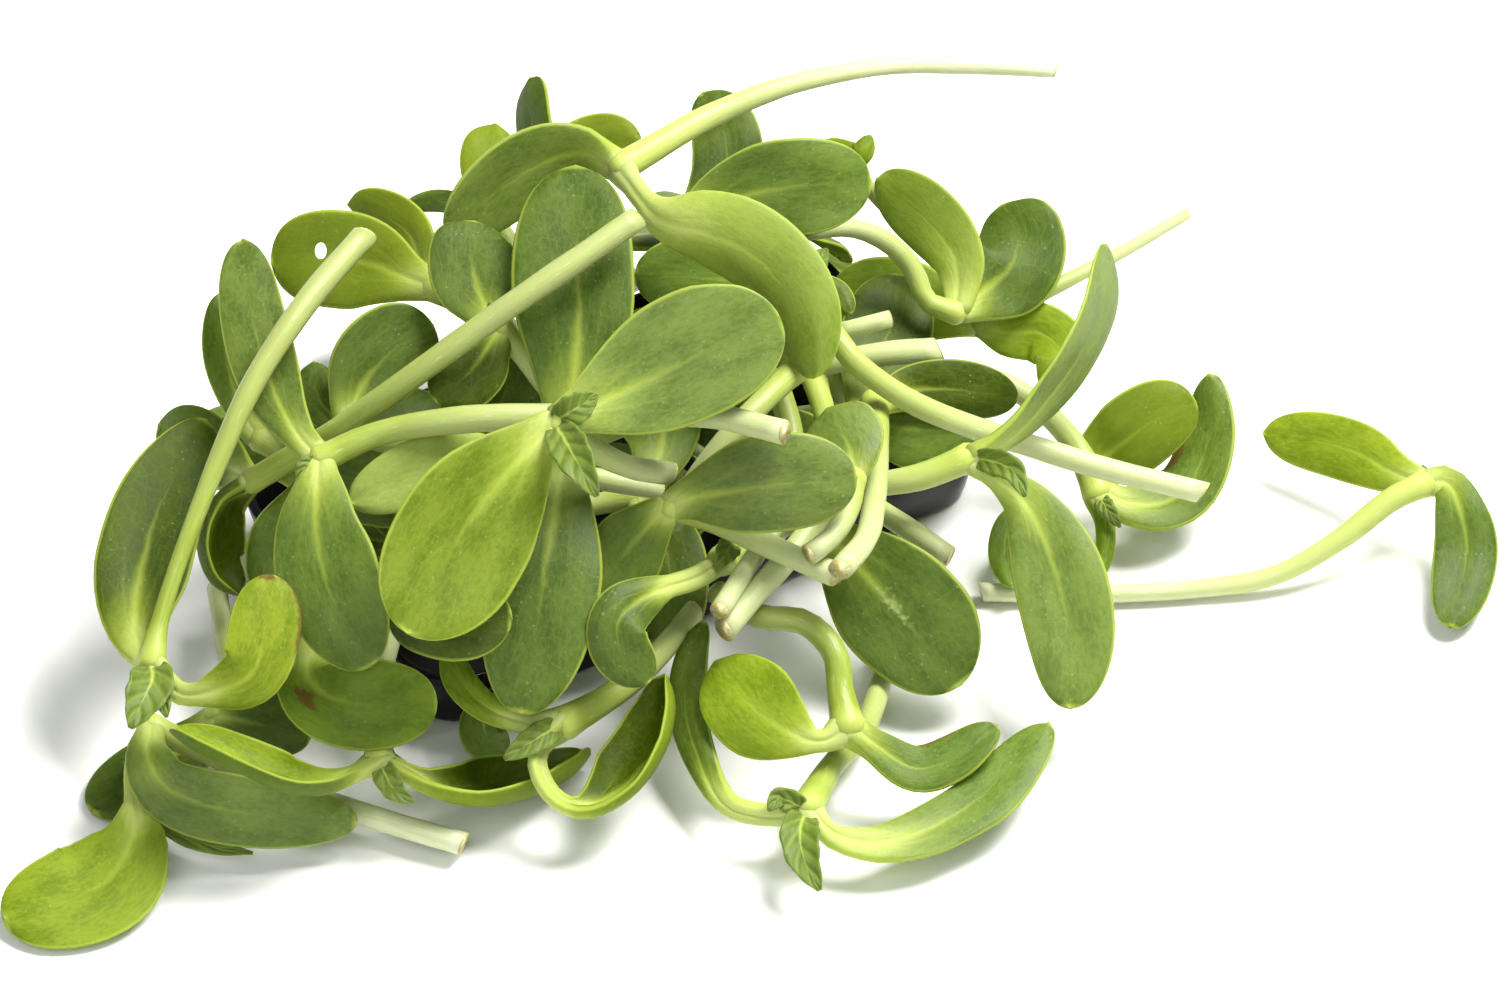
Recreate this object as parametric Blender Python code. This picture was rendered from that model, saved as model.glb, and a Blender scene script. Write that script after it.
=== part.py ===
"""Cut sunflower microgreens heaped over a small black tray, in metres with +Z up.

The tray's underside is centred on the origin and its long side runs along X.
The heap is laid out as it looks to someone who stands front left of the tray,
34 degrees round from straight ahead and looking down at 42 degrees. A place in
the heap is (across, rise, height): millimetres to the right, millimetres up
that view, and millimetres over the table. Of two places at one across and one
rise, the higher one is nearer to the eye.

Each sprout is one solid: its stem, its two seed leaves and any bud grew as
one piece.
"""

import math
from collections import namedtuple

import bmesh
import bpy
from mathutils import Vector

MM = 0.001

# The eye that the heap is laid out for.
TURN = math.radians(34.0)
LEAN = math.radians(42.0)
RIGHT = Vector((math.cos(TURN), -math.sin(TURN), 0.0))
AWAY = Vector((math.sin(TURN), math.cos(TURN), 0.0))
UP = Vector((0.0, 0.0, 1.0))
TO_EYE = UP * math.sin(LEAN) - AWAY * math.cos(LEAN)

# The tray, in millimetres.
TRAY_LENGTH, TRAY_WIDTH = 84.0, 46.0
TRAY_CORNER = 7.0
TRAY_HEIGHT = 10.0
TRAY_FLARE = 2.0
TRAY_WALL = 1.4
TRAY_FLOOR = 1.6
TRAY_FOOT_ROUND = 1.8
TRAY_LIP_ROUND = 0.5

# A seed leaf and a stem, in millimetres.
LEAF_THICK = 0.95
BLADE_STATIONS = (0.0, 0.16, 0.34, 0.54, 0.75, 0.91, 1.0)
STALK_HALF = 1.35
STALK_THICK = 1.0
STEM_SIDES = 6
STEM_STEP = 7.5
NODE_SWELL = 1.12
CURVE_STEPS = 12

Leaf = namedtuple(
    "Leaf", "path width roll fold stalk tilt widest", defaults=(0.0, 12.0, 0.0, 0.0, 0.56)
)
Bud = namedtuple("Bud", "path width roll", defaults=(0.0,))
Sprout = namedtuple("Sprout", "name stem leaves buds coarse", defaults=((), False))

# A stem is its points from the cut end to the node, each (across, rise, height, radius).
# A leaf is its midrib from just past the node to the tip, its full width, the roll of its
# face away from the eye about the midrib, how far each half folds up, both in degrees, the
# share of its length that is stalk, how far its face leans from the eye (0) to straight up
# (1), and how far along its blade it is widest. A coarse sprout lies inside the heap, and its
# leaves have fewer sides.
SPROUTS = (
    Sprout(
        "sprout_top_arc",
        ((56.0, 56.8, 51.0, 1.0), (45.0, 57.3, 52.0, 1.1), (34.0, 57.2, 53.0, 1.1),
         (22.0, 54.8, 53.0, 1.3), (12.0, 50.8, 52.0, 1.6), (5.0, 46.8, 52.0, 1.8),
         (0.8, 44.3, 51.5, 2.0)),
        (Leaf(((-4.0, 46.4, 51.0), (-9.5, 44.9, 50.0), (-15.0, 41.3, 47.5), (-21.0, 35.5, 43.5)),
              11.5, 30.0, 20.0),
         Leaf(((3.4, 40.6, 51.5), (6.3, 37.6, 51.5), (12.0, 36.0, 51.0), (18.2, 32.8, 49.5),
               (23.4, 26.3, 45.5), (25.3, 17.5, 39.5)), 12.4, -20.0, -35.0, stalk=0.17,
              widest=0.42)),
    ),
    Sprout(
        "sprout_crossing",
        ((3.0, 37.8, 57.0, 1.55), (-5.0, 32.2, 54.5, 1.6), (-14.0, 26.0, 50.5, 1.6),
         (-26.0, 17.3, 42.5, 1.6), (-36.0, 10.3, 33.5, 1.6), (-46.0, 4.5, 25.0, 1.6)),
        (Leaf(((-49.8, 1.8, 22.0), (-51.6, -3.0, 18.0), (-50.6, -7.3, 14.5), (-47.2, -9.8, 12.5)),
              12.0, 55.0, 80.0),
         Leaf(((-50.0, 7.0, 22.0), (-54.0, 10.0, 21.0), (-58.0, 11.5, 19.0)), 8.5)),
    ),
    Sprout(
        "sprout_left_tall",
        ((-31.7, 35.6, 47.0, 1.6), (-39.0, 27.0, 45.5, 1.6), (-45.5, 17.0, 41.0, 1.5),
         (-50.0, 7.0, 35.0, 1.3), (-54.3, -4.0, 28.5, 1.1), (-57.2, -13.0, 23.0, 1.1),
         (-58.3, -18.5, 20.0, 1.8)),
        (Leaf(((-60.3, -14.5, 20.0), (-60.0, -8.0, 22.0), (-57.4, 1.5, 24.5), (-51.6, 12.3, 27.0)),
              12.2, widest=0.42),
         Leaf(((-54.5, -22.2, 20.5), (-49.5, -21.6, 22.5), (-45.5, -19.5, 25.0),
               (-43.8, -14.0, 28.5), (-43.2, -7.2, 32.0)), 9.5, stalk=0.3)),
        (Bud(((-58.2, -20.6, 21.5), (-59.4, -23.4, 21.3), (-60.8, -26.6, 20.2)), 5.8),
         Bud(((-57.2, -21.2, 20.5), (-56.3, -25.2, 19.5)), 3.0)),
    ),
    Sprout(
        "sprout_left_front",
        ((-19.0, -41.2, 3.0, 1.5), (-30.0, -38.0, 3.5, 1.5), (-42.0, -34.0, 4.0, 1.5),
         (-52.0, -29.5, 5.5, 1.5), (-58.5, -26.5, 8.5, 1.7)),
        (Leaf(((-58.7, -30.5, 10.5), (-55.5, -34.8, 8.5), (-46.0, -37.4, 6.5), (-32.3, -38.3, 6.0)),
              9.2),
         Leaf(((-60.3, -31.0, 8.0), (-60.3, -36.5, 6.0), (-60.8, -41.5, 4.5), (-65.5, -47.3, 3.0),
               (-76.8, -50.6, 2.5)), 15.5, stalk=0.3, tilt=0.7)),
        (Bud(((-57.5, -33.0, 4.5), (-57.0, -38.0, 3.0), (-51.5, -41.3, 2.3), (-45.5, -42.4, 2.3)),
             2.8),),
    ),
    Sprout(
        "sprout_front_fold",
        ((-26.0, -8.0, 14.5, 1.4), (-28.5, -16.0, 13.7, 1.4), (-30.0, -24.0, 12.6, 1.4),
         (-29.5, -30.8, 11.0, 2.0)),
        (Leaf(((-32.5, -32.4, 12.0), (-36.5, -34.0, 13.0), (-41.0, -34.0, 14.5),
               (-46.5, -31.8, 16.5), (-52.0, -29.0, 18.0), (-55.8, -26.6, 19.0)),
              12.0, -65.0, 85.0, stalk=0.15, widest=0.5),
         Leaf(((-26.6, -32.2, 10.5), (-23.0, -34.2, 9.0), (-17.3, -35.6, 6.0),
               (-11.5, -34.8, 3.8), (-6.5, -32.4, 2.6), (-3.2, -29.8, 2.6)),
              13.0, 64.0, 85.0, stalk=0.1, widest=0.5)),
        (Bud(((-28.6, -32.8, 12.0), (-27.5, -34.5, 10.5), (-25.2, -36.0, 9.5)), 3.2),),
    ),
    Sprout(
        "sprout_left_pair",
        ((-4.8, 12.7, 40.7, 1.6), (-10.0, 12.7, 41.2, 1.7), (-20.0, 12.2, 41.0, 1.8),
         (-29.5, 10.6, 38.5, 1.6), (-37.0, 7.3, 36.0, 1.8)),
        (Leaf(((-40.0, 10.6, 37.0), (-43.0, 16.0, 37.0), (-45.6, 24.5, 38.0), (-47.3, 35.3, 40.0)),
              8.8),
         Leaf(((-37.3, 3.2, 35.5), (-37.3, -2.8, 32.5), (-35.4, -10.0, 29.0), (-30.8, -19.0, 23.0)),
              13.5, -12.0)),
        (Bud(((-38.8, 6.5, 36.5), (-40.0, 4.6, 35.5)), 2.2),),
    ),
    Sprout(
        "sprout_centre",
        ((7.0, 5.5, 33.5, 1.5), (2.0, 6.3, 36.5, 1.5), (-3.5, 9.0, 42.0, 1.6),
         (-7.5, 12.0, 47.0, 1.9)),
        (Leaf(((-2.5, 14.2, 48.0), (4.5, 17.4, 49.5), (12.0, 21.2, 52.5), (21.3, 24.6, 55.0)), 16.5),
         Leaf(((-10.8, 8.5, 46.0), (-16.3, 2.0, 43.0), (-21.5, -6.0, 38.5), (-26.0, -14.6, 34.0)),
              18.0, 10.0)),
        (Bud(((-5.5, 13.2, 49.3), (-2.0, 15.4, 50.6)), 4.0),
         Bud(((-6.0, 9.5, 48.0), (-4.0, 6.0, 48.0), (-2.0, 2.6, 46.0)), 5.0)),
    ),
    Sprout(
        "sprout_upright",
        ((21.5, 10.7, 45.0, 1.6), (12.0, 12.8, 43.5, 1.6), (4.0, 12.6, 41.0, 1.6),
         (-2.0, 10.5, 36.5, 1.6), (-6.5, 8.5, 34.0, 1.8)),
        (Leaf(((-5.5, 14.5, 39.0), (-4.5, 24.0, 45.5), (-4.8, 34.5, 51.0), (-5.0, 44.6, 55.0)), 15.8),
         Leaf(((-7.0, 4.5, 34.0), (-8.3, -4.0, 31.0), (-9.8, -14.0, 25.5), (-11.8, -24.8, 18.5)),
              14.8)),
    ),
    Sprout(
        "sprout_mid_right",
        ((28.3, -7.4, 26.5, 1.6), (19.5, -3.6, 26.7, 1.6), (12.5, -0.4, 28.0, 1.6),
         (7.0, 1.3, 31.0, 1.9)),
        (Leaf(((10.0, 2.4, 33.0), (16.0, 3.4, 36.0), (22.5, 4.2, 37.5), (30.8, 5.0, 37.5)), 13.0),
         Leaf(((4.5, -1.0, 29.5), (1.5, -4.5, 26.5), (-2.0, -10.0, 23.0)), 10.0)),
    ),
    Sprout(
        "sprout_mid_low",
        ((21.5, -1.2, 18.6, 1.4), (18.0, -3.4, 19.4, 1.4), (14.0, -5.3, 21.0, 2.0)),
        (Leaf(((10.5, -7.6, 24.3), (5.3, -9.4, 26.6), (1.0, -12.4, 26.8), (0.8, -16.5, 24.0),
               (4.6, -20.8, 20.5)), 8.0, stalk=0.42, widest=0.6),),
        (Bud(((14.5, -4.0, 24.0), (13.0, -6.5, 24.0)), 3.0),),
    ),
    Sprout(
        "sprout_right_stem",
        ((74.7, 3.1, 13.0, 1.4), (62.0, 6.2, 16.0, 1.5), (53.0, 9.0, 19.0, 1.5),
         (46.0, 11.2, 22.5, 1.5), (38.0, 14.4, 27.5, 1.5), (31.0, 19.2, 32.5, 1.5),
         (27.5, 23.5, 35.0, 1.5), (23.0, 28.0, 37.0, 1.7)),
        (Leaf(((18.0, 29.7, 38.0), (10.5, 30.4, 40.0), (2.6, 30.8, 41.0)), 10.5),
         Leaf(((25.5, 29.0, 36.0), (28.0, 28.3, 34.5), (30.0, 25.8, 33.0)), 4.0)),
        (Bud(((25.0, 31.5, 39.0), (27.0, 34.0, 39.0)), 3.0),),
    ),
    Sprout(
        "sprout_right_node",
        ((21.5, 1.8, 21.3, 1.5), (25.0, 2.5, 21.8, 1.5), (31.0, 3.8, 23.0, 1.6),
         (38.5, 5.0, 24.5, 1.7), (45.0, 7.5, 26.0, 1.9)),
        (Leaf(((49.5, 10.0, 27.5), (53.8, 13.8, 29.0), (58.5, 20.0, 32.0), (61.8, 27.0, 35.0),
               (62.6, 34.7, 39.0)), 11.0, -64.0, 8.0),
         Leaf(((48.8, 4.6, 25.5), (52.3, 1.5, 24.5), (55.5, -5.5, 21.0), (57.5, -14.5, 15.5),
               (57.7, -24.2, 9.5)), 12.0, stalk=0.12)),
        (Bud(((48.0, 7.0, 28.0), (50.5, 5.8, 28.5), (52.0, 2.6, 27.5)), 3.5),),
    ),
    Sprout(
        "sprout_stray",
        ((46.6, -9.5, 1.7, 1.2), (55.0, -9.8, 1.7, 1.2), (65.0, -9.7, 1.7, 1.2),
         (75.0, -9.0, 1.8, 1.2), (84.0, -7.4, 2.8, 1.3), (92.0, -3.0, 6.0, 1.4),
         (98.5, 2.0, 9.0, 1.6), (103.0, 4.2, 10.0, 1.7)),
        (Leaf(((98.5, 6.0, 9.5), (94.5, 8.2, 9.0), (89.0, 9.8, 8.0), (82.6, 10.8, 7.0)), 8.5),
         Leaf(((105.8, 4.4, 10.0), (107.5, 1.0, 9.0), (108.3, -5.0, 5.5), (106.2, -14.0, 2.5)), 8.3)),
        (Bud(((102.8, 6.6, 10.5),), 1.5),),
    ),
    Sprout(
        "sprout_right_cluster",
        ((44.0, 18.5, 17.0, 1.4), (50.0, 16.8, 16.5, 1.4), (55.0, 13.2, 13.5, 1.5),
         (59.0, 8.5, 10.0, 1.6), (61.5, 3.0, 7.5, 2.0)),
        (Leaf(((62.0, 7.0, 9.0), (65.0, 9.7, 12.0), (69.0, 12.5, 14.5), (74.0, 14.8, 16.0)), 10.5),
         Leaf(((65.0, 1.5, 7.0), (69.5, 1.5, 6.5), (73.5, 4.2, 7.5), (75.7, 10.5, 10.5),
               (75.8, 18.3, 15.5)), 8.8, 30.0, 20.0, widest=0.4),
         Leaf(((62.4, -1.0, 6.0), (62.2, -5.0, 4.5), (60.6, -8.3, 3.5)), 2.6)),
        (Bud(((62.6, 1.0, 8.0), (64.3, -1.3, 7.0)), 2.2),),
    ),
    Sprout(
        "sprout_top_right",
        ((24.0, 36.2, 36.0, 1.2), (29.5, 36.8, 34.5, 1.2), (34.3, 35.2, 32.0, 1.3),
         (37.8, 31.8, 28.5, 1.3), (39.7, 27.5, 25.5, 1.3), (43.5, 26.0, 24.0, 1.6)),
        (Leaf(((44.0, 29.3, 26.0), (43.3, 33.3, 29.0), (39.6, 38.0, 32.0), (33.3, 43.2, 34.0)),
              9.0, 20.0),
         Leaf(((47.5, 29.2, 24.0), (50.6, 32.3, 25.3), (51.3, 36.0, 26.5), (49.3, 39.9, 28.0)),
              13.2)),
    ),
    Sprout(
        "sprout_thin_stem",
        ((73.0, 38.7, 19.0, 0.75), (64.5, 33.7, 19.0, 0.85), (57.0, 29.8, 19.0, 1.0),
         (50.5, 26.5, 18.0, 1.1), (46.5, 24.3, 17.0, 1.4)),
        (Leaf(((50.0, 23.4, 17.5), (54.0, 23.6, 18.5), (57.0, 20.6, 17.5), (55.4, 15.2, 14.0)),
              7.8, widest=0.45),
         Leaf(((42.0, 26.0, 17.5), (36.0, 27.8, 18.5), (27.5, 28.5, 19.0)), 10.5)),
        (Bud(((47.0, 27.0, 18.5), (48.5, 29.5, 19.5)), 2.0),),
    ),
    Sprout(
        "sprout_top_back",
        ((6.0, 22.0, 30.0, 1.5), (7.0, 30.0, 36.0, 1.5), (8.5, 36.5, 41.0, 1.8)),
        (Leaf(((12.5, 39.6, 43.0), (18.0, 41.2, 45.0), (25.0, 42.3, 46.0), (32.6, 42.8, 45.0)), 12.8),
         Leaf(((12.5, 41.0, 41.0), (14.2, 45.0, 42.0), (13.8, 49.5, 43.5), (11.0, 54.0, 44.5)), 9.3)),
    ),
    Sprout(
        "sprout_top_tips",
        ((-4.0, 26.0, 34.0, 1.4), (-6.0, 34.0, 37.0, 1.4), (-8.0, 42.0, 39.0, 1.8)),
        (Leaf(((-9.3, 45.5, 41.0), (-10.3, 50.5, 43.5), (-10.7, 56.0, 46.0)), 8.0, 55.0),
         Leaf(((-6.0, 45.6, 41.0), (-2.0, 47.4, 42.0), (3.4, 47.2, 42.5)), 8.4)),
    ),
    Sprout(
        "sprout_top_left",
        ((-10.0, 28.0, 34.0, 1.3), (-13.0, 34.0, 37.0, 1.3), (-16.0, 38.5, 39.0, 1.6)),
        (Leaf(((-16.0, 42.0, 41.0), (-16.0, 46.0, 43.0), (-15.3, 50.0, 44.5)), 7.6),
         Leaf(((-19.0, 39.6, 38.0), (-23.0, 40.2, 36.0), (-27.0, 39.5, 34.0)), 3.0)),
    ),
    Sprout(
        "sprout_holed",
        ((-8.0, 20.0, 32.0, 1.4), (-15.0, 25.0, 35.5, 1.4), (-23.0, 29.2, 38.0, 1.9)),
        (Leaf(((-26.0, 30.3, 38.5), (-31.0, 32.2, 38.5), (-37.0, 33.0, 38.0), (-43.7, 32.7, 36.0)),
              13.0),
         Leaf(((-24.5, 33.0, 39.0), (-26.5, 36.5, 39.0), (-30.0, 38.8, 38.0), (-34.0, 39.8, 36.5)),
              6.5, 20.0)),
    ),
    Sprout(
        "sprout_mid_left",
        ((-8.0, 16.0, 36.0, 1.5), (-11.0, 20.0, 40.0, 1.5), (-14.3, 24.0, 43.0, 1.8)),
        (Leaf(((-16.0, 26.5, 44.5), (-17.5, 30.0, 46.0), (-18.2, 34.0, 47.5), (-17.8, 37.5, 48.5)),
              11.8),
         Leaf(((-16.0, 21.5, 42.5), (-18.5, 18.0, 41.0), (-22.5, 14.5, 39.5)), 9.0)),
        (Bud(((-15.0, 25.5, 45.5), (-15.8, 27.2, 46.5)), 1.8),),
    ),
    Sprout(
        "sprout_left_shade",
        ((-20.0, 8.0, 27.0, 1.4), (-27.0, 9.0, 29.0, 1.4), (-33.5, 11.0, 30.0, 1.7)),
        (Leaf(((-33.0, 14.0, 32.0), (-31.0, 18.0, 35.0), (-27.5, 21.5, 37.5), (-22.8, 24.3, 39.0)),
              12.0, 0.0, 20.0),
         Leaf(((-36.0, 13.0, 30.5), (-37.7, 16.0, 31.5), (-38.0, 19.7, 32.5)), 5.5)),
    ),
    Sprout(
        "sprout_left_back",
        ((-34.0, 5.0, 20.0, 1.4), (-40.0, 7.0, 21.0, 1.4), (-45.0, 10.0, 23.0, 1.7)),
        (Leaf(((-47.0, 13.0, 25.0), (-49.3, 20.0, 29.0), (-50.0, 28.5, 32.0)), 6.0),
         Leaf(((-37.5, 12.5, 25.0), (-33.0, 18.0, 28.0), (-30.5, 23.5, 30.0)), 6.0)),
    ),
    Sprout(
        "sprout_under_centre",
        ((6.0, 3.5, 23.5, 1.4), (-3.0, 5.0, 26.0, 1.4), (-12.0, 6.8, 30.5, 1.8)),
        (Leaf(((-16.0, 7.5, 33.5), (-21.0, 6.5, 35.0), (-27.0, 4.5, 34.0), (-33.3, 1.8, 32.0)), 8.5),),
    ),
    Sprout(
        "sprout_low_left",
        ((-12.0, -6.0, 19.0, 1.4), (-22.0, -8.0, 20.0, 1.4), (-32.5, -11.0, 19.0, 1.8)),
        (Leaf(((-38.3, -17.5, 16.8), (-37.5, -21.5, 17.0), (-32.0, -23.6, 17.3), (-22.2, -23.4, 17.0)),
              12.5, stalk=0.2),
         Leaf(((-28.0, -9.5, 22.0), (-23.0, -11.0, 26.5), (-18.0, -12.5, 29.5), (-12.8, -12.8, 30.5)),
              12.8)),
    ),
    Sprout(
        "sprout_low_dark",
        ((-50.5, -9.0, 7.0, 1.3), (-49.6, -14.0, 7.0, 1.3), (-48.5, -20.0, 6.5, 1.3),
         (-50.0, -25.0, 5.5, 1.8)),
        (Leaf(((-47.0, -25.8, 7.5), (-43.0, -26.5, 9.0), (-38.3, -27.8, 8.5)), 8.5),
         Leaf(((-54.0, -29.0, 2.2), (-60.0, -33.5, 1.7), (-66.0, -37.0, 1.4)), 12.0, tilt=0.9)),
    ),
    Sprout(
        "sprout_loop",
        ((10.0, -12.0, 14.0, 1.4), (5.0, -18.0, 15.0, 1.6), (0.0, -22.3, 15.0, 1.7),
         (-6.3, -26.0, 13.0, 2.1)),
        (Leaf(((-9.3, -29.0, 12.0), (-9.6, -32.0, 10.5), (-7.4, -35.6, 8.5), (-3.4, -36.9, 7.5),
               (1.6, -34.3, 8.0), (5.2, -29.2, 10.0), (6.6, -24.3, 13.0), (6.3, -19.8, 16.0)),
              13.6, 55.0, 80.0, stalk=0.36, widest=0.5),
         Leaf(((-11.0, -25.9, 14.5), (-15.5, -24.3, 15.5), (-19.3, -20.8, 16.5),
               (-21.0, -16.3, 18.0)), 4.3, stalk=0.3)),
        (Bud(((-9.0, -27.5, 14.0), (-13.8, -30.5, 13.0)), 3.6),),
    ),
    Sprout(
        "sprout_ring",
        ((13.0, -9.5, 18.0, 1.6), (18.5, -12.6, 18.5, 1.6), (24.0, -13.3, 18.5, 1.6),
         (27.8, -17.0, 17.0, 1.6), (28.6, -22.0, 14.0, 1.8), (29.5, -26.5, 12.0, 2.2)),
        (Leaf(((26.2, -28.3, 11.5), (22.0, -27.0, 12.5), (17.3, -23.8, 14.5), (12.8, -18.2, 16.3)),
              12.0, stalk=0.2, widest=0.5),
         Leaf(((33.0, -29.0, 10.0), (38.0, -31.8, 8.0), (43.0, -30.5, 8.5), (48.5, -26.3, 10.5)),
              7.0, 25.0, 25.0)),
    ),
    Sprout(
        "sprout_front_right",
        ((35.0, -15.0, 4.0, 1.3), (33.8, -21.0, 4.0, 1.4), (31.5, -27.0, 5.0, 1.5),
         (27.5, -31.5, 6.0, 1.6), (24.3, -37.0, 6.5, 2.2)),
        (Leaf(((28.5, -40.6, 6.0), (36.0, -40.8, 5.5), (46.0, -35.8, 6.0), (55.0, -26.0, 8.0)), 8.5,
              30.0, 15.0, 0.1),
         Leaf(((19.5, -37.6, 6.5), (14.5, -36.3, 7.0), (11.3, -31.5, 8.0), (9.3, -25.0, 10.5),
               (9.5, -18.5, 13.0), (11.3, -13.0, 16.0)), 5.3, 20.0, 25.0, 0.25)),
        (Bud(((22.5, -36.0, 9.0), (20.8, -35.5, 9.5), (19.5, -37.0, 9.5)), 3.0),
         Bud(((23.5, -39.5, 8.0), (24.0, -43.0, 7.0), (26.0, -47.0, 5.0)), 5.0)),
    ),
    Sprout(
        "sprout_dark_leaf",
        ((22.5, 5.0, 15.5, 1.4), (24.0, 2.5, 16.0, 1.4), (26.0, -1.0, 16.0, 1.7)),
        (Leaf(((28.8, -4.0, 15.5), (33.0, -8.5, 14.0), (37.8, -14.0, 11.0), (43.8, -21.3, 7.0)),
              16.0),),
    ),
    Sprout(
        "sprout_cut_c",
        ((24.7, -4.7, 29.5, 1.4), (27.8, -2.3, 30.0, 1.4), (29.8, 1.3, 30.5, 1.4),
         (30.3, 5.0, 31.0, 1.6)),
        (Leaf(((30.2, 7.5, 32.5), (29.2, 10.3, 33.5), (27.0, 13.8, 34.5)), 10.5),),
    ),
    Sprout(
        "sprout_cut_d",
        ((28.6, -6.6, 30.5, 1.5), (31.7, -3.0, 29.0, 1.5), (32.8, 1.0, 27.5, 1.5),
         (33.3, 7.0, 27.5, 1.5), (33.0, 14.5, 25.0, 1.8)),
        (Leaf(((37.0, 16.0, 24.0), (41.5, 16.3, 23.5), (46.5, 15.8, 22.0), (51.4, 15.0, 20.0)), 7.6),),
    ),
    Sprout(
        "sprout_cut_e",
        ((42.5, -5.0, 14.5, 1.4), (38.0, -2.0, 16.0, 1.4), (33.0, 1.3, 17.5, 1.4),
         (28.5, 4.5, 18.0, 1.4)),
        (Leaf(((25.0, 9.5, 18.0), (18.0, 11.0, 18.0), (10.0, 10.5, 18.5)), 7.0),),
    ),
    Sprout(
        "sprout_cut_a",
        ((13.4, -11.8, 24.5, 1.3), (17.3, -5.7, 24.0, 1.3), (21.5, 1.5, 25.0, 1.4),
         (22.5, 10.0, 28.0, 1.5), (20.5, 17.0, 31.0, 1.6)),
        (Leaf(((17.5, 20.0, 30.5), (14.0, 22.5, 30.5), (10.5, 24.5, 30.0)), 7.0),),
        (), True,
    ),
    Sprout(
        "sprout_cut_b",
        ((14.0, -14.2, 21.7, 1.6), (18.0, -9.5, 22.5, 1.6), (22.5, -4.5, 23.5, 1.5),
         (26.8, 2.0, 25.0, 1.5), (27.3, 10.0, 28.0, 1.5), (25.5, 17.0, 29.5, 1.5)),
        (Leaf(((23.5, 21.5, 29.5), (19.0, 26.0, 29.5), (13.0, 29.5, 29.5)), 6.0),),
        (), True,
    ),
    Sprout(
        "sprout_cut_f",
        ((35.0, 25.2, 29.0, 1.1), (29.0, 23.6, 28.5, 1.2), (21.0, 21.5, 27.0, 1.3)),
        (Leaf(((17.0, 18.0, 26.0), (12.0, 13.0, 24.0)), 7.0),),
        (), True,
    ),
    Sprout(
        "sprout_cut_g",
        ((41.2, 21.2, 26.0, 1.6), (35.0, 20.8, 26.0, 1.6), (27.0, 19.5, 25.5, 1.5),
         (18.0, 17.0, 23.0, 1.5)),
        (Leaf(((13.0, 18.5, 23.0), (7.0, 19.0, 24.0)), 7.0),),
        (), True,
    ),
    Sprout(
        "sprout_slant",
        ((7.0, -1.0, 25.5, 1.5), (11.0, 5.5, 32.0, 1.5), (14.8, 10.5, 36.0, 1.5),
         (19.0, 14.8, 37.5, 1.5), (22.8, 18.5, 37.3, 1.7)),
        (Leaf(((22.0, 22.0, 38.0), (19.0, 25.5, 39.5)), 6.0),),
        (), True,
    ),
    Sprout(
        "sprout_inner_left",
        ((-26.0, 0.0, 15.0, 1.4), (-33.0, 2.0, 16.5, 1.4), (-39.0, 4.0, 18.0, 1.6)),
        (Leaf(((-42.0, 7.0, 19.0), (-46.0, 9.0, 19.5), (-50.0, 12.5, 20.0)), 7.0),
         Leaf(((-41.0, -0.5, 16.0), (-42.5, -5.0, 13.5), (-43.5, -10.5, 10.5)), 9.0)),
        (), True,
    ),
    Sprout(
        "sprout_inner_mid",
        ((-3.0, 6.0, 19.5, 1.4), (-9.0, 5.5, 20.5, 1.4), (-18.0, 5.0, 22.0, 1.6)),
        (Leaf(((-24.0, 3.5, 22.0), (-31.0, 4.0, 21.5), (-38.5, 6.0, 22.0)), 11.0),
         Leaf(((-16.0, 10.0, 28.5), (-13.5, 17.0, 32.0), (-13.0, 24.0, 36.0)), 11.0)),
        (), True,
    ),
    Sprout(
        "sprout_inner_right",
        ((20.0, 12.0, 16.0, 1.4), (26.0, 13.0, 17.0, 1.4), (31.0, 13.0, 18.5, 1.6)),
        (Leaf(((35.0, 11.5, 19.0), (40.0, 11.0, 18.5), (46.5, 11.0, 17.0)), 10.0),
         Leaf(((33.0, 18.5, 19.5), (35.0, 24.0, 21.0), (36.0, 31.0, 23.0)), 12.0)),
        (), True,
    ),
    Sprout(
        "sprout_inner_centre",
        ((-10.0, 0.0, 14.0, 1.4), (-3.0, 1.5, 15.0, 1.4), (3.0, 2.5, 16.0, 1.6)),
        (Leaf(((5.0, 6.0, 19.0), (6.0, 11.0, 21.0), (4.0, 19.0, 25.0), (3.2, 26.5, 27.5)), 12.0),
         Leaf(((5.5, -2.0, 17.2), (7.0, -7.0, 15.8), (7.0, -17.0, 9.5)), 10.0)),
        (), True,
    ),
    Sprout(
        "sprout_inner_low",
        ((-6.0, -19.2, 7.0, 1.4), (-10.0, -21.4, 7.0, 1.4), (-14.0, -23.4, 6.3, 1.6)),
        (Leaf(((-16.3, -25.6, 5.3), (-16.0, -28.0, 4.0), (-13.5, -29.6, 3.0)), 6.5, tilt=0.6),),
        (), True,
    ),
    Sprout(
        "sprout_right_low",
        ((57.5, -9.5, 4.5, 1.3), (55.5, -4.0, 4.8, 1.3), (52.5, 0.5, 5.5, 1.5)),
        (Leaf(((50.3, -1.0, 6.0), (49.6, -5.0, 5.0), (51.0, -9.0, 4.5)), 4.5),),
        (), True,
    ),
    Sprout(
        "sprout_far_stem",
        ((38.0, 36.3, 25.0, 1.0), (35.0, 39.3, 28.0, 1.1), (31.5, 42.7, 32.0, 1.1),
         (27.0, 45.0, 37.0, 1.2)),
        (Leaf(((27.5, 46.7, 39.0), (31.0, 46.0, 40.5), (32.6, 48.6, 42.0)), 3.4),),
        (), True,
    ),
    Sprout(
        "sprout_back_left",
        ((-14.0, 28.0, 4.0, 1.4), (-18.0, 30.0, 9.0, 1.4), (-22.0, 31.5, 14.0, 1.6)),
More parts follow.
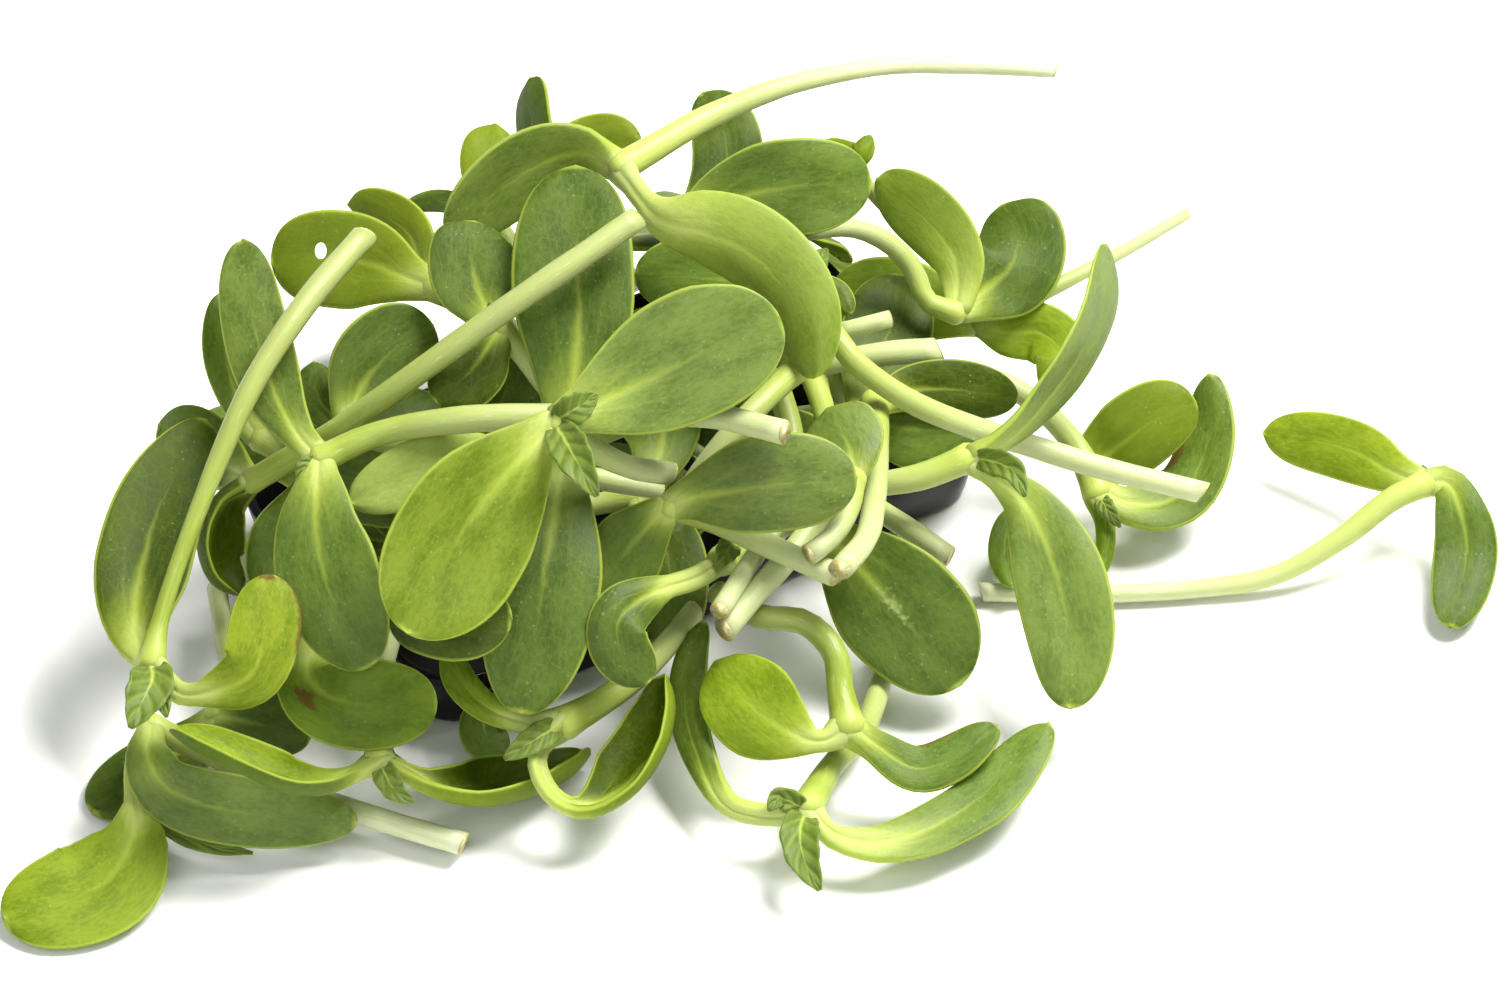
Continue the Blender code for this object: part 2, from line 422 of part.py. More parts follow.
        (Leaf(((-26.0, 31.0, 15.0), (-31.0, 29.5, 13.0), (-36.0, 27.5, 9.0)), 12.0, tilt=1.5),
         Leaf(((-20.5, 33.5, 18.0), (-19.0, 35.0, 22.5), (-18.0, 35.5, 27.5)), 11.0, tilt=1.5)),
        (), True,
    ),
    Sprout(
        "sprout_back_mid",
        ((2.0, 30.0, 5.0, 1.4), (0.0, 33.0, 13.0, 1.4), (-2.0, 35.5, 21.0, 1.6)),
        (Leaf(((-4.0, 37.0, 24.0), (-8.0, 38.0, 28.0), (-11.0, 38.0, 32.0)), 11.0, tilt=1.4),
         Leaf(((2.5, 35.5, 20.0), (6.5, 35.8, 16.5), (11.0, 35.5, 13.5)), 11.0, tilt=1.5)),
        (), True,
    ),
    Sprout(
        "sprout_back_right",
        ((16.0, 34.5, 4.0, 1.4), (17.0, 37.2, 12.0, 1.4), (18.0, 38.2, 18.5, 1.6)),
        (Leaf(((14.5, 39.3, 22.5), (10.0, 39.8, 27.0), (5.0, 39.5, 30.5)), 10.0, tilt=1.4),
         Leaf(((22.0, 37.5, 17.0), (26.0, 35.5, 12.0), (29.0, 33.5, 8.0)), 11.0, tilt=1.5)),
        (), True,
    ),
    Sprout(
        "sprout_tray_left",
        ((-6.7, 2.7, 4.4, 1.4), (-14.4, 2.7, 7.0, 1.4), (-21.9, 4.8, 11.0, 1.6)),
        (Leaf(((-25.5, 6.2, 13.0), (-31.3, 7.1, 14.5), (-38.0, 5.8, 13.5)), 12.0, tilt=1.3),
         Leaf(((-24.5, 9.0, 14.0), (-26.6, 13.2, 16.0), (-28.3, 16.4, 16.5)), 11.0, tilt=1.5)),
        (), True,
    ),
    Sprout(
        "sprout_tray_mid",
        ((9.4, 10.7, 4.4, 1.4), (2.7, 12.8, 8.0, 1.4), (-3.4, 14.7, 12.0, 1.6)),
        (Leaf(((-7.0, 16.1, 14.0), (-12.0, 18.2, 16.5), (-17.5, 18.0, 17.0)), 12.0, tilt=1.4),
         Leaf(((-4.9, 18.6, 14.5), (-6.2, 23.6, 17.0), (-7.7, 27.3, 17.5)), 11.0, tilt=1.5)),
        (), True,
    ),
    Sprout(
        "sprout_tray_right",
        ((10.5, 7.2, 4.4, 1.4), (15.5, 14.5, 8.0, 1.4), (18.8, 21.4, 12.0, 1.6)),
        (Leaf(((19.6, 25.3, 13.5), (20.1, 29.1, 14.5), (19.8, 31.1, 13.5)), 10.0, tilt=1.3),
         Leaf(((15.7, 25.1, 14.5), (11.4, 27.9, 16.5), (6.6, 29.6, 16.5)), 12.0, tilt=1.5)),
        (), True,
    ),
    Sprout(
        "sprout_tray_end",
        ((-12.7, -5.5, 4.6, 1.4), (-19.6, -5.3, 7.0, 1.4), (-25.7, -4.5, 9.5, 1.6)),
        (Leaf(((-29.9, -3.3, 10.5), (-34.0, -2.2, 11.2), (-38.8, -0.9, 11.5)), 9.0, tilt=1.2),
         Leaf(((-26.8, -1.5, 10.5), (-28.1, 1.9, 11.0), (-30.5, 4.5, 10.5)), 9.0, tilt=1.3)),
        (), True,
    ),
    Sprout(
        "sprout_tray_floor",
        ((21.6, 8.2, 4.4, 1.4), (15.5, 5.8, 6.0, 1.4), (9.4, 4.1, 8.5, 1.6)),
        (Leaf(((5.6, 5.5, 10.0), (-0.5, 6.3, 11.0), (-7.2, 5.7, 11.0)), 11.0, tilt=1.2),
         Leaf(((8.6, 2.1, 9.5), (7.5, -0.4, 9.5), (4.5, -3.8, 9.0)), 9.0, tilt=1.2)),
        (), True,
    ),
    Sprout(
        "sprout_tray_corner",
        ((30.5, 8.9, 4.4, 1.4), (28.8, 14.2, 6.0, 1.4), (26.8, 19.6, 9.0, 1.6)),
        (Leaf(((25.7, 23.0, 10.5), (25.4, 26.5, 11.5), (25.2, 29.6, 11.5)), 9.0, tilt=1.2),
         Leaf(((29.6, 21.6, 10.5), (33.6, 22.7, 11.8), (37.9, 23.2, 12.5)), 8.0, tilt=1.2)),
        (), True,
    ),
    Sprout(
        "sprout_table_left",
        ((-24.0, 12.0, 2.5, 1.4), (-32.0, 11.0, 2.5, 1.4), (-39.0, 9.5, 3.5, 1.6)),
        (Leaf(((-43.0, 10.5, 4.0), (-48.0, 12.0, 4.0), (-54.0, 12.0, 3.0)), 9.0, tilt=1.2),
         Leaf(((-36.5, 13.0, 4.5), (-33.0, 16.0, 6.0), (-29.0, 18.5, 8.0)), 9.0, tilt=1.2)),
        (), True,
    ),
    Sprout(
        "sprout_table_right",
        ((26.8, 27.5, 2.5, 1.4), (30.0, 27.5, 2.5, 1.4), (33.0, 27.0, 3.5, 1.6)),
        (Leaf(((35.5, 26.0, 4.0), (38.0, 24.8, 4.0), (41.0, 23.5, 3.0)), 6.0, tilt=1.2),
         Leaf(((30.0, 30.5, 4.5), (26.0, 32.5, 4.5), (21.5, 33.5, 3.5)), 6.0, tilt=1.2)),
        (), True,
    ),
)


def spot(across, rise, height):
    """A place in the heap, in metres."""
    away = (rise - height * math.cos(LEAN)) / math.sin(LEAN)
    return (RIGHT * across + AWAY * away + UP * height) * MM


def curve_through(points):
    """Places close together on a smooth curve through these, and how far along each is."""
    ends = [points[0] * 2 - points[1], *points, points[-1] * 2 - points[-2]]
    fine = []
    for a, b, c, d in zip(ends, ends[1:], ends[2:], ends[3:]):
        for step in range(CURVE_STEPS):
            t = step / CURVE_STEPS
            fine.append(
                (b * 2 + (c - a) * t + (a * 2 - b * 5 + c * 4 - d) * t**2
                 + (b * 3 - a - c * 3 + d) * t**3) / 2
            )
    fine.append(points[-1])
    far = [0.0]
    for a, b in zip(fine, fine[1:]):
        far.append(far[-1] + (b - a).length)
    return fine, far


def at_share(fine, far, share):
    """The place and the direction that share of the way along."""
    goal = share * far[-1]
    i = 1
    while i < len(far) - 1 and far[i] < goal:
        i += 1
    part = (goal - far[i - 1]) / max(far[i] - far[i - 1], 1e-12)
    place = fine[i - 1].lerp(fine[i], part)
    before, after = fine[max(i - 2, 0)], fine[min(i + 1, len(fine) - 1)]
    return place, (after - before).normalized()


def loft(name, rings):
    """A closed mesh object through rings of equally many places, capped flat at both ends."""
    shape = bmesh.new()
    rows = [[shape.verts.new(place) for place in ring] for ring in rings]
    sides = len(rows[0])
    for low, high in zip(rows, rows[1:]):
        for i in range(sides):
            j = (i + 1) % sides
            shape.faces.new((low[i], low[j], high[j], high[i]))
    shape.faces.new(reversed(rows[0]))
    shape.faces.new(rows[-1])
    bmesh.ops.recalc_face_normals(shape, faces=shape.faces)
    bmesh.ops.triangulate(shape, faces=shape.faces)
    mesh = bpy.data.meshes.new(name)
    shape.to_mesh(mesh)
    shape.free()
    return bpy.data.objects.new(name, mesh)


def stem_rings(stem):
    """Rings round a stem, which ends in a rounded node."""
    places = [spot(*point[:3]) for point in stem]
    fine, far = curve_through(places)
    marks = [far[i * CURVE_STEPS] / far[-1] for i in range(len(places))]
    count = max(4, round(far[-1] / MM / STEM_STEP))
    rings = []
    side = None
    for share in (i / count for i in range(count + 1)):
        place, along = at_share(fine, far, share)
        if side is None:
            side = along.cross(TO_EYE)
        side = (side - along * side.dot(along)).normalized()
        i = min(max(k for k in range(len(marks)) if marks[k] <= share + 1e-9), len(marks) - 2)
        part = (share - marks[i]) / (marks[i + 1] - marks[i])
        radius = (stem[i][3] * (1 - part) + stem[i + 1][3] * part) * MM
        rings.append((place, side, side.cross(along), radius))
    place, side, over, radius = rings[-1]
    rings[-1] = (place, side, over, radius * NODE_SWELL)
    rings.append((place + over.cross(side) * radius * 0.9, side, over, radius * 0.55))
    return [
        [
            place
            + side * radius * math.cos(math.tau * i / STEM_SIDES)
            + over * radius * math.sin(math.tau * i / STEM_SIDES)
            for i in range(STEM_SIDES)
        ]
        for place, side, over, radius in rings
    ]


def blade_half(share, half, widest):
    """Half the width of a seed leaf that share of the way from its base to its tip."""
    if share < widest:
        grow = math.sin(math.pi / 2 * share / widest) ** 1.15
        return STALK_HALF + (half - STALK_HALF) * grow
    fall = (share - widest) / (1 - widest)
    return max(half * math.sqrt(max(1 - fall**2.3, 0.0)), half * 0.2)


def facing(along, roll, tilt):
    """The directions across a leaf and out of its face."""
    side = along.cross(TO_EYE.lerp(UP, tilt)).normalized()
    face = side.cross(along)
    turn = math.radians(roll)
    return (
        side * math.cos(turn) + face * math.sin(turn),
        face * math.cos(turn) - side * math.sin(turn),
    )


def leaf_rings(node, leaf, coarse):
    """Rings across a leaf: over its face from edge to edge, and back under it."""
    fine, far = curve_through([spot(*node)] + [spot(*point) for point in leaf.path])
    fold = math.radians(leaf.fold)
    stalk = leaf.stalk
    shares = [stalk + (1 - stalk) * share for share in BLADE_STATIONS]
    if stalk > 0.05:
        steps = max(1, round(stalk / 0.12))
        shares = [stalk * i / steps for i in range(steps)] + shares
    quarter = 3 if coarse else 4
    rings = []
    for share in shares:
        place, along = at_share(fine, far, share)
        side, face = facing(along, leaf.roll, leaf.tilt)
        blade = max(share - stalk, 0.0) / (1 - stalk)
        half = blade_half(blade, leaf.width / 2, leaf.widest)
        thick = STALK_THICK + (LEAF_THICK / 2 - STALK_THICK) * min(blade / 0.35, 1.0)
        ring = []
        for i in range(2 * quarter):
            over = i < quarter
            across = 1 - 2 * i / quarter if over else -1 + 2 * (i - quarter) / quarter
            skin = 0.0
            if abs(across) < 0.99:
                skin = thick * (1 - 0.45 * across**2) * (1 if over else -1)
            bend = fold * across
            out = half * math.sin(bend) / fold if fold else half * across
            rise = half * (1 - math.cos(bend)) / fold if fold else 0.0
            up = face * math.cos(bend) - side * math.sin(bend)
            ring.append(place + (side * out + face * rise + up * skin) * MM)
        rings.append(ring)
    return rings


def bud_rings(node, bud):
    """Rings along a young leaf that is still folded: thin at both ends."""
    fine, far = curve_through([spot(*node)] + [spot(*point) for point in bud.path])
    rings = []
    for share, wide in ((0.0, 0.45), (0.3, 0.75), (0.6, 1.0), (0.85, 0.62), (1.0, 0.12)):
        place, along = at_share(fine, far, share)
        side, face = facing(along, bud.roll, 0.0)
        half = bud.width / 2 * wide
        rings.append(
            [
                place
                + (side * half * math.cos(math.tau * i / 6)
                   + face * half * 0.5 * math.sin(math.tau * i / 6)) * MM
                for i in range(6)
            ]
        )
    return rings


def clear_scene():
    for thing in list(bpy.data.objects):
        bpy.data.objects.remove(thing)


def collection(name):
    made = bpy.data.collections.new(name)
    bpy.context.scene.collection.children.link(made)
    return made


def material(name, colour, roughness):
    made = bpy.data.materials.new(name)
    made.use_nodes = True
    surface = made.node_tree.nodes["Principled BSDF"]
    surface.inputs["Base Color"].default_value = (*colour, 1.0)
    surface.inputs["Roughness"].default_value = roughness
    made.diffuse_color = (*colour, 1.0)
    return made


def rounded_rectangle(length, width, corner, height, steps=4):
    """The outline of a rounded rectangle at this height, in metres."""
    places = []
    for turn, (x, y) in enumerate(((1, 1), (-1, 1), (-1, -1), (1, -1))):
        for step in range(steps + 1):
            angle = math.radians(90 * turn + 90 * step / steps)
            places.append(
                Vector((
                    x * (length / 2 - corner) + corner * math.cos(angle),
                    y * (width / 2 - corner) + corner * math.sin(angle),
                    height,
                )) * MM
            )
    return places


def build_tray(home, paint):
    """A dish in one loft: under the foot, up the outside, over the lip and down inside."""
    rings = []
    lip = 2 * TRAY_FLARE
    outside = (
        (-2 * TRAY_FOOT_ROUND * 0.75, 0.0),
        (-TRAY_FOOT_ROUND * 0.45, TRAY_FOOT_ROUND * 0.35),
        (0.0, TRAY_FOOT_ROUND * 1.2),
        (lip, TRAY_HEIGHT - TRAY_LIP_ROUND),
        (lip - TRAY_LIP_ROUND, TRAY_HEIGHT),
    )
    inside = (
        (lip - 2 * TRAY_WALL + TRAY_LIP_ROUND, TRAY_HEIGHT),
        (lip - 2 * TRAY_WALL, TRAY_HEIGHT - TRAY_LIP_ROUND),
        (-2 * TRAY_WALL, TRAY_FLOOR + TRAY_FOOT_ROUND),
        (-2 * TRAY_WALL - TRAY_FOOT_ROUND * 1.2, TRAY_FLOOR),
    )
    for grow, height in outside + inside:
        rings.append(
            rounded_rectangle(
                TRAY_LENGTH + grow, TRAY_WIDTH + grow, TRAY_CORNER + grow / 2, height
            )
        )
    tray = loft("tray", rings)
    tray.data.materials.append(paint)
    home.objects.link(tray)


def build_sprout(sprout, home, parts, paint):
    """One sprout: its stem, with each leaf and bud united to it."""
    stem = loft(sprout.name, stem_rings(sprout.stem))
    stem.data.materials.append(paint)
    home.objects.link(stem)
    node = sprout.stem[-1][:3]
    shapes = [leaf_rings(node, leaf, sprout.coarse) for leaf in sprout.leaves]
    shapes += [bud_rings(node, bud) for bud in sprout.buds]
    for i, rings in enumerate(shapes):
        piece = loft(f"{sprout.name}_leaf_{i + 1}", rings)
        piece.data.materials.append(paint)
        piece.hide_render = True
        parts.objects.link(piece)
        join = stem.modifiers.new(f"leaf {i + 1}", "BOOLEAN")
        join.operation = "UNION"
        join.solver = "EXACT"
        join.object = piece


def main():
    clear_scene()
    bpy.context.scene.unit_settings.scale_length = 1.0
    home = collection("sunflower_microgreens_tray")
    parts = collection("leaf_parts")
    black = material("black gloss", (0.012, 0.012, 0.014), 0.25)
    green = material("sprout green", (0.2, 0.33, 0.06), 0.5)
    build_tray(home, black)
    for sprout in SPROUTS:
        build_sprout(sprout, home, parts, green)


main()
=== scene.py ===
"""Looks for a heap of cut sunflower microgreens over a small black tray, in metres with +Z up.

Each sprout is one piece: a pale stem with a cut end, a node, seed leaves and young buds. It is
drawn finely along the same points as its plain solid in the frame. The heap is laid out as it
looks to someone who stands front left of the tray and looks down at it: a place is (across,
rise, height) in millimetres, to the right, up that view, and over the table.
"""

import math
import random
from collections import namedtuple

import bmesh
import bpy
from mathutils import Matrix, Vector, noise
from mathutils.kdtree import KDTree


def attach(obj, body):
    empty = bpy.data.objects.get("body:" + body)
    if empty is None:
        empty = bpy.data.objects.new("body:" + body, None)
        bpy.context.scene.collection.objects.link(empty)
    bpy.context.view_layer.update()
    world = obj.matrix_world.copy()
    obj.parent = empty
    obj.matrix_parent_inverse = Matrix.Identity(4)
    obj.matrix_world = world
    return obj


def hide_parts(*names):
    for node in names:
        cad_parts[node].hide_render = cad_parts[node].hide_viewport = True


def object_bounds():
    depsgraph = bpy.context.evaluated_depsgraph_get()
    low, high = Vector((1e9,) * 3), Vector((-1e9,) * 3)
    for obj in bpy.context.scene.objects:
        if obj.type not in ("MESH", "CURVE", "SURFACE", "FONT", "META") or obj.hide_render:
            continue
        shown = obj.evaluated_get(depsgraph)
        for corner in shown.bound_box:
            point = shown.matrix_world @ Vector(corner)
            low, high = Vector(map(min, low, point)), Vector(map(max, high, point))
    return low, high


bl_info = {
    "name": "Sunflower microgreens",
    "version": (1, 0, 0),
    "blender": (4, 5, 0),
    "location": "3D View > Sidebar > Microgreens",
    "description": "Draws a heap of cut sunflower microgreens over a small black tray",
    "category": "Add Mesh",
}

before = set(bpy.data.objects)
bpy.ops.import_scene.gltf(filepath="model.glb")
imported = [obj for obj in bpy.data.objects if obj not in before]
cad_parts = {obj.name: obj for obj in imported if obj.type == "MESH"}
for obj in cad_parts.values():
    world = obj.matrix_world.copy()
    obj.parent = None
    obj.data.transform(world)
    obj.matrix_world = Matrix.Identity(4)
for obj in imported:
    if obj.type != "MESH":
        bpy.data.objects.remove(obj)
CAD_BOX = [list(corner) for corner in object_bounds()]

MM = 0.001

# The eye that the heap is laid out for.
TURN = math.radians(34.0)
LEAN = math.radians(42.0)
RIGHT = Vector((math.cos(TURN), -math.sin(TURN), 0.0))
AWAY = Vector((math.sin(TURN), math.cos(TURN), 0.0))
UP = Vector((0.0, 0.0, 1.0))
TO_EYE = UP * math.sin(LEAN) - AWAY * math.cos(LEAN)

# The tray, in millimetres, as its solid is.
TRAY_LENGTH, TRAY_WIDTH = 84.0, 46.0
TRAY_CORNER = 7.0
TRAY_HEIGHT = 10.0
TRAY_FLARE = 2.0
TRAY_WALL = 1.4
TRAY_FLOOR = 1.6
TRAY_FOOT_ROUND = 1.8
TRAY_LIP_ROUND = 0.5
# How much longer and wider than the foot the flat rings under it are.
TRAY_FOOT_RINGS = (-6.0, -3.0)

# How finely the tray is drawn: steps round each corner, and round each fillet and the lip.
TRAY_CORNER_STEPS = 10
TRAY_ROUND_STEPS = 6

# How finely the sprouts are drawn: steps between the points of a curve, rows along a piece and
# sides round it. A leaf that is all stalk would have LEAF_STALK_ROWS more rows, and a stem has
# one in each STEM_ROW millimetres.
CURVE_STEPS = 12
LEAF_ROWS, LEAF_SIDES = 30, 28
LEAF_STALK_ROWS = 24
STEM_ROW, STEM_SIDES = 1.8, 18
FEWEST_STEM_ROWS = 6
BUD_ROWS, BUD_SIDES = 22, 20

# How far from its node a leaf's base stays as thick as the node, in millimetres.
NODE_REACH = 4.0
# Half the thickness of a leaf's stalk and of a bud, in millimetres.
STALK_HALF_THICK = 1.0
BUD_HALF_THICK = 0.42
# How far each half of a bud folds up, in degrees.
BUD_FOLD = 55.0
# How much thicker a stem is at its node, and the rings that round off its end there: how wide
# and how far out each is, as shares of the radius.
NODE_SWELL = 1.08
NODE_CAP = ((0.88, 0.35), (0.6, 0.62), (0.2, 0.74))
# The rings of a cut face from its rim to its middle: how wide each is, and how far it sinks
# from a level that stands CUT_PROUD past the stem's end, likewise.
CUT_FACE = ((1.0, 0.02), (0.86, 0.09), (0.55, 0.02), (0.12, 0.1))
CUT_PROUD = 0.1
# Edges that turn more than this look sharp.
SHARP = math.radians(50)
# Where the holed leaf is pierced, and how long, wide and deep the hole is, in millimetres.
HOLE_PLACE = (-37.3, 33.8, 38.0)
HOLE_LONG, HOLE_WIDE, HOLE_DEPTH = 2.1, 1.5, 8.0
HOLE_SIDES = 14

# The stage, in metres. The table reaches half of its side each way, and each lamp stands so
# far right of, behind and over the heap's middle.
TABLE_HALF = 12.0
HEAP_MIDDLE = Vector((0.0, 0.0, 0.02))
KEY_PLACE, KEY_SIZE, KEY_TINT = (0.45, 0.2, 0.95), 0.55, (1.0, 0.99, 0.96)
FILL_PLACE, FILL_SIZE, FILL_TINT = (-0.35, -0.8, 0.7), 0.9, (0.97, 0.99, 1.0)
# How far under the heap the table lies, and what the camera aims at, in millimetres.
TABLE_DROP = 0.05
CAMERA_AIM = (17.2, 2.15, 24.0)

# A sprout's material slots in order, and the numbers that each point carries for them.
FINISHES = ("leaf", "stem", "cut", "bud")
NUMBERS = ("along", "across", "under", "base", "bloom", "scar", "pale")

Leaf = namedtuple(
    "Leaf",
    "path width roll fold stalk tilt widest look scars",
    defaults=(0.0, 12.0, 0.0, 0.0, 0.56, "green", ()),
)
Bud = namedtuple("Bud", "path width roll", defaults=(0.0,))
Sprout = namedtuple("Sprout", "name stem leaves buds pale", defaults=((), 0.45))
Look = namedtuple("Look", "tint bloom turned reach back", defaults=(False, 1.0, None))

# How much grey bloom each kind of leaf has, whether its underside faces the eye, how far the
# pale base reaches, as a multiple of the common reach, and the colour of its other side, where
# that differs.
LOOKS = {
    "bloom": Look("bloom_tint", 0.9),
    "green": Look("green_tint", 0.5),
    # Partly painted shade: the dark look darkens leaves that lie in shade inside the heap or face away
    # from the light, as well as deep green ones.
    "dark": Look("dark_and_shaded_tint", 0.35),
    "olive": Look("olive_tint", 0.35),
    "lime": Look("lime_tint", 0.2),
    "glow": Look("glow_tint", 0.05, True),
    "pale": Look("pale_tint", 0.1, True),
    "deep": Look("deep_tint", 0.0, False, 0.7, "glow_tint"),
    "hollow": Look("deep_tint", 0.0, False, 0.5, "dark_and_shaded_tint"),
    "boat": Look("lime_tint", 0.1, False, 0.9, "dark_and_shaded_tint"),
    "murk": Look("murk_tint", 0.1),
    "shade": Look("dark_and_shaded_tint", 0.7, False, 0.8),
    "dipped": Look("bloom_tint", 0.75, False, 1.5),
    # Painted light: a lime leaf made paler, with more bloom and a longer pale base, where the light falls
    # full on it.
    "lit_lime": Look("lime_tint", 0.8, False, 1.7),
}

# A sprout is its name, its stem, its leaves, its buds and how white its stem is, from 0 to 1.
# A stem is its points from the cut end to the node, each (across, rise, height, radius).
# A leaf is its midrib from just past the node to the tip, its full width, the roll of its
# face away from the eye about the midrib, how far each half folds up, both in degrees, the
# share of its length that is stalk, how far its face leans from the eye (0) to straight up
# (1), how far along its blade it is widest, its look, and its scars, each
# (share along, share across, size, depth): a shallow scar only dries the margin, and one whose
# depth is negative is bleached. A bud is its midrib, its full width and its roll.
TOP_SPROUTS = (
    Sprout(
        "sprout_top_arc",
        ((56.0, 56.8, 51.0, 1.0), (45.0, 57.3, 52.0, 1.1), (34.0, 57.2, 53.0, 1.1),
         (22.0, 54.8, 53.0, 1.3), (12.0, 50.8, 52.0, 1.6), (5.0, 46.8, 52.0, 1.8),
         (0.8, 44.3, 51.5, 2.0)),
        (Leaf(((-4.0, 46.4, 51.0), (-9.5, 44.9, 50.0), (-15.0, 41.3, 47.5), (-21.0, 35.5, 43.5)),
              11.5, 30.0, 20.0, look="bloom"),
         Leaf(((3.4, 40.6, 51.5), (6.3, 37.6, 51.5), (12.0, 36.0, 51.0), (18.2, 32.8, 49.5),
               (23.4, 26.3, 45.5), (25.3, 17.5, 39.5)), 12.4, -20.0, -35.0, stalk=0.17,
              widest=0.42, look="lit_lime")),
        pale=0.95,
    ),
    Sprout(
        "sprout_top_back",
        ((6.0, 22.0, 30.0, 1.5), (7.0, 30.0, 36.0, 1.5), (8.5, 36.5, 41.0, 1.8)),
        (Leaf(((12.5, 39.6, 43.0), (18.0, 41.2, 45.0), (25.0, 42.3, 46.0), (32.6, 42.8, 45.0)), 12.8,
              look="green"),
         Leaf(((12.5, 41.0, 41.0), (14.2, 45.0, 42.0), (13.8, 49.5, 43.5), (11.0, 54.0, 44.5)), 9.3,
              look="dark")),
    ),
    Sprout(
        "sprout_top_tips",
        ((-4.0, 26.0, 34.0, 1.4), (-6.0, 34.0, 37.0, 1.4), (-8.0, 42.0, 39.0, 1.8)),
        (Leaf(((-9.3, 45.5, 41.0), (-10.3, 50.5, 43.5), (-10.7, 56.0, 46.0)), 8.0, 55.0, look="dark"),
         Leaf(((-6.0, 45.6, 41.0), (-2.0, 47.4, 42.0), (3.4, 47.2, 42.5)), 8.4, look="glow")),
    ),
    Sprout(
        "sprout_top_left",
        ((-10.0, 28.0, 34.0, 1.3), (-13.0, 34.0, 37.0, 1.3), (-16.0, 38.5, 39.0, 1.6)),
        (Leaf(((-16.0, 42.0, 41.0), (-16.0, 46.0, 43.0), (-15.3, 50.0, 44.5)), 7.6, look="glow"),
         Leaf(((-19.0, 39.6, 38.0), (-23.0, 40.2, 36.0), (-27.0, 39.5, 34.0)), 3.0, look="green")),
    ),
    Sprout(
        "sprout_top_right",
        ((24.0, 36.2, 36.0, 1.2), (29.5, 36.8, 34.5, 1.2), (34.3, 35.2, 32.0, 1.3),
         (37.8, 31.8, 28.5, 1.3), (39.7, 27.5, 25.5, 1.3), (43.5, 26.0, 24.0, 1.6)),
        (Leaf(((44.0, 29.3, 26.0), (43.3, 33.3, 29.0), (39.6, 38.0, 32.0), (33.3, 43.2, 34.0)),
              9.0, 20.0, look="lit_lime"),
         Leaf(((47.5, 29.2, 24.0), (50.6, 32.3, 25.3), (51.3, 36.0, 26.5), (49.3, 39.9, 28.0)),
              13.2, look="dark")),
    ),
    Sprout(
        "sprout_thin_stem",
        ((73.0, 38.7, 19.0, 0.75), (64.5, 33.7, 19.0, 0.85), (57.0, 29.8, 19.0, 1.0),
         (50.5, 26.5, 18.0, 1.1), (46.5, 24.3, 17.0, 1.4)),
        (Leaf(((50.0, 23.4, 17.5), (54.0, 23.6, 18.5), (57.0, 20.6, 17.5), (55.4, 15.2, 14.0)),
              7.8, widest=0.45, look="lime"),
         Leaf(((42.0, 26.0, 17.5), (36.0, 27.8, 18.5), (27.5, 28.5, 19.0)), 10.5, look="olive")),
        (Bud(((47.0, 27.0, 18.5), (48.5, 29.5, 19.5)), 2.0),),
        pale=0.4,
    ),
    Sprout(
        "sprout_far_stem",
        ((38.0, 36.3, 25.0, 1.0), (35.0, 39.3, 28.0, 1.1), (31.5, 42.7, 32.0, 1.1),
         (27.0, 45.0, 37.0, 1.2)),
        (Leaf(((27.5, 46.7, 39.0), (31.0, 46.0, 40.5), (32.6, 48.6, 42.0)), 3.4, look="lime"),),
    ),
    Sprout(
        "sprout_holed",
        ((-8.0, 20.0, 32.0, 1.4), (-15.0, 25.0, 35.5, 1.4), (-23.0, 29.2, 38.0, 1.9)),
        (Leaf(((-26.0, 30.3, 38.5), (-31.0, 32.2, 38.5), (-37.0, 33.0, 38.0), (-43.7, 32.7, 36.0)),
              13.0, look="glow"),
         Leaf(((-24.5, 33.0, 39.0), (-26.5, 36.5, 39.0), (-30.0, 38.8, 38.0), (-34.0, 39.8, 36.5)),
              6.5, 20.0, look="glow")),
    ),
)

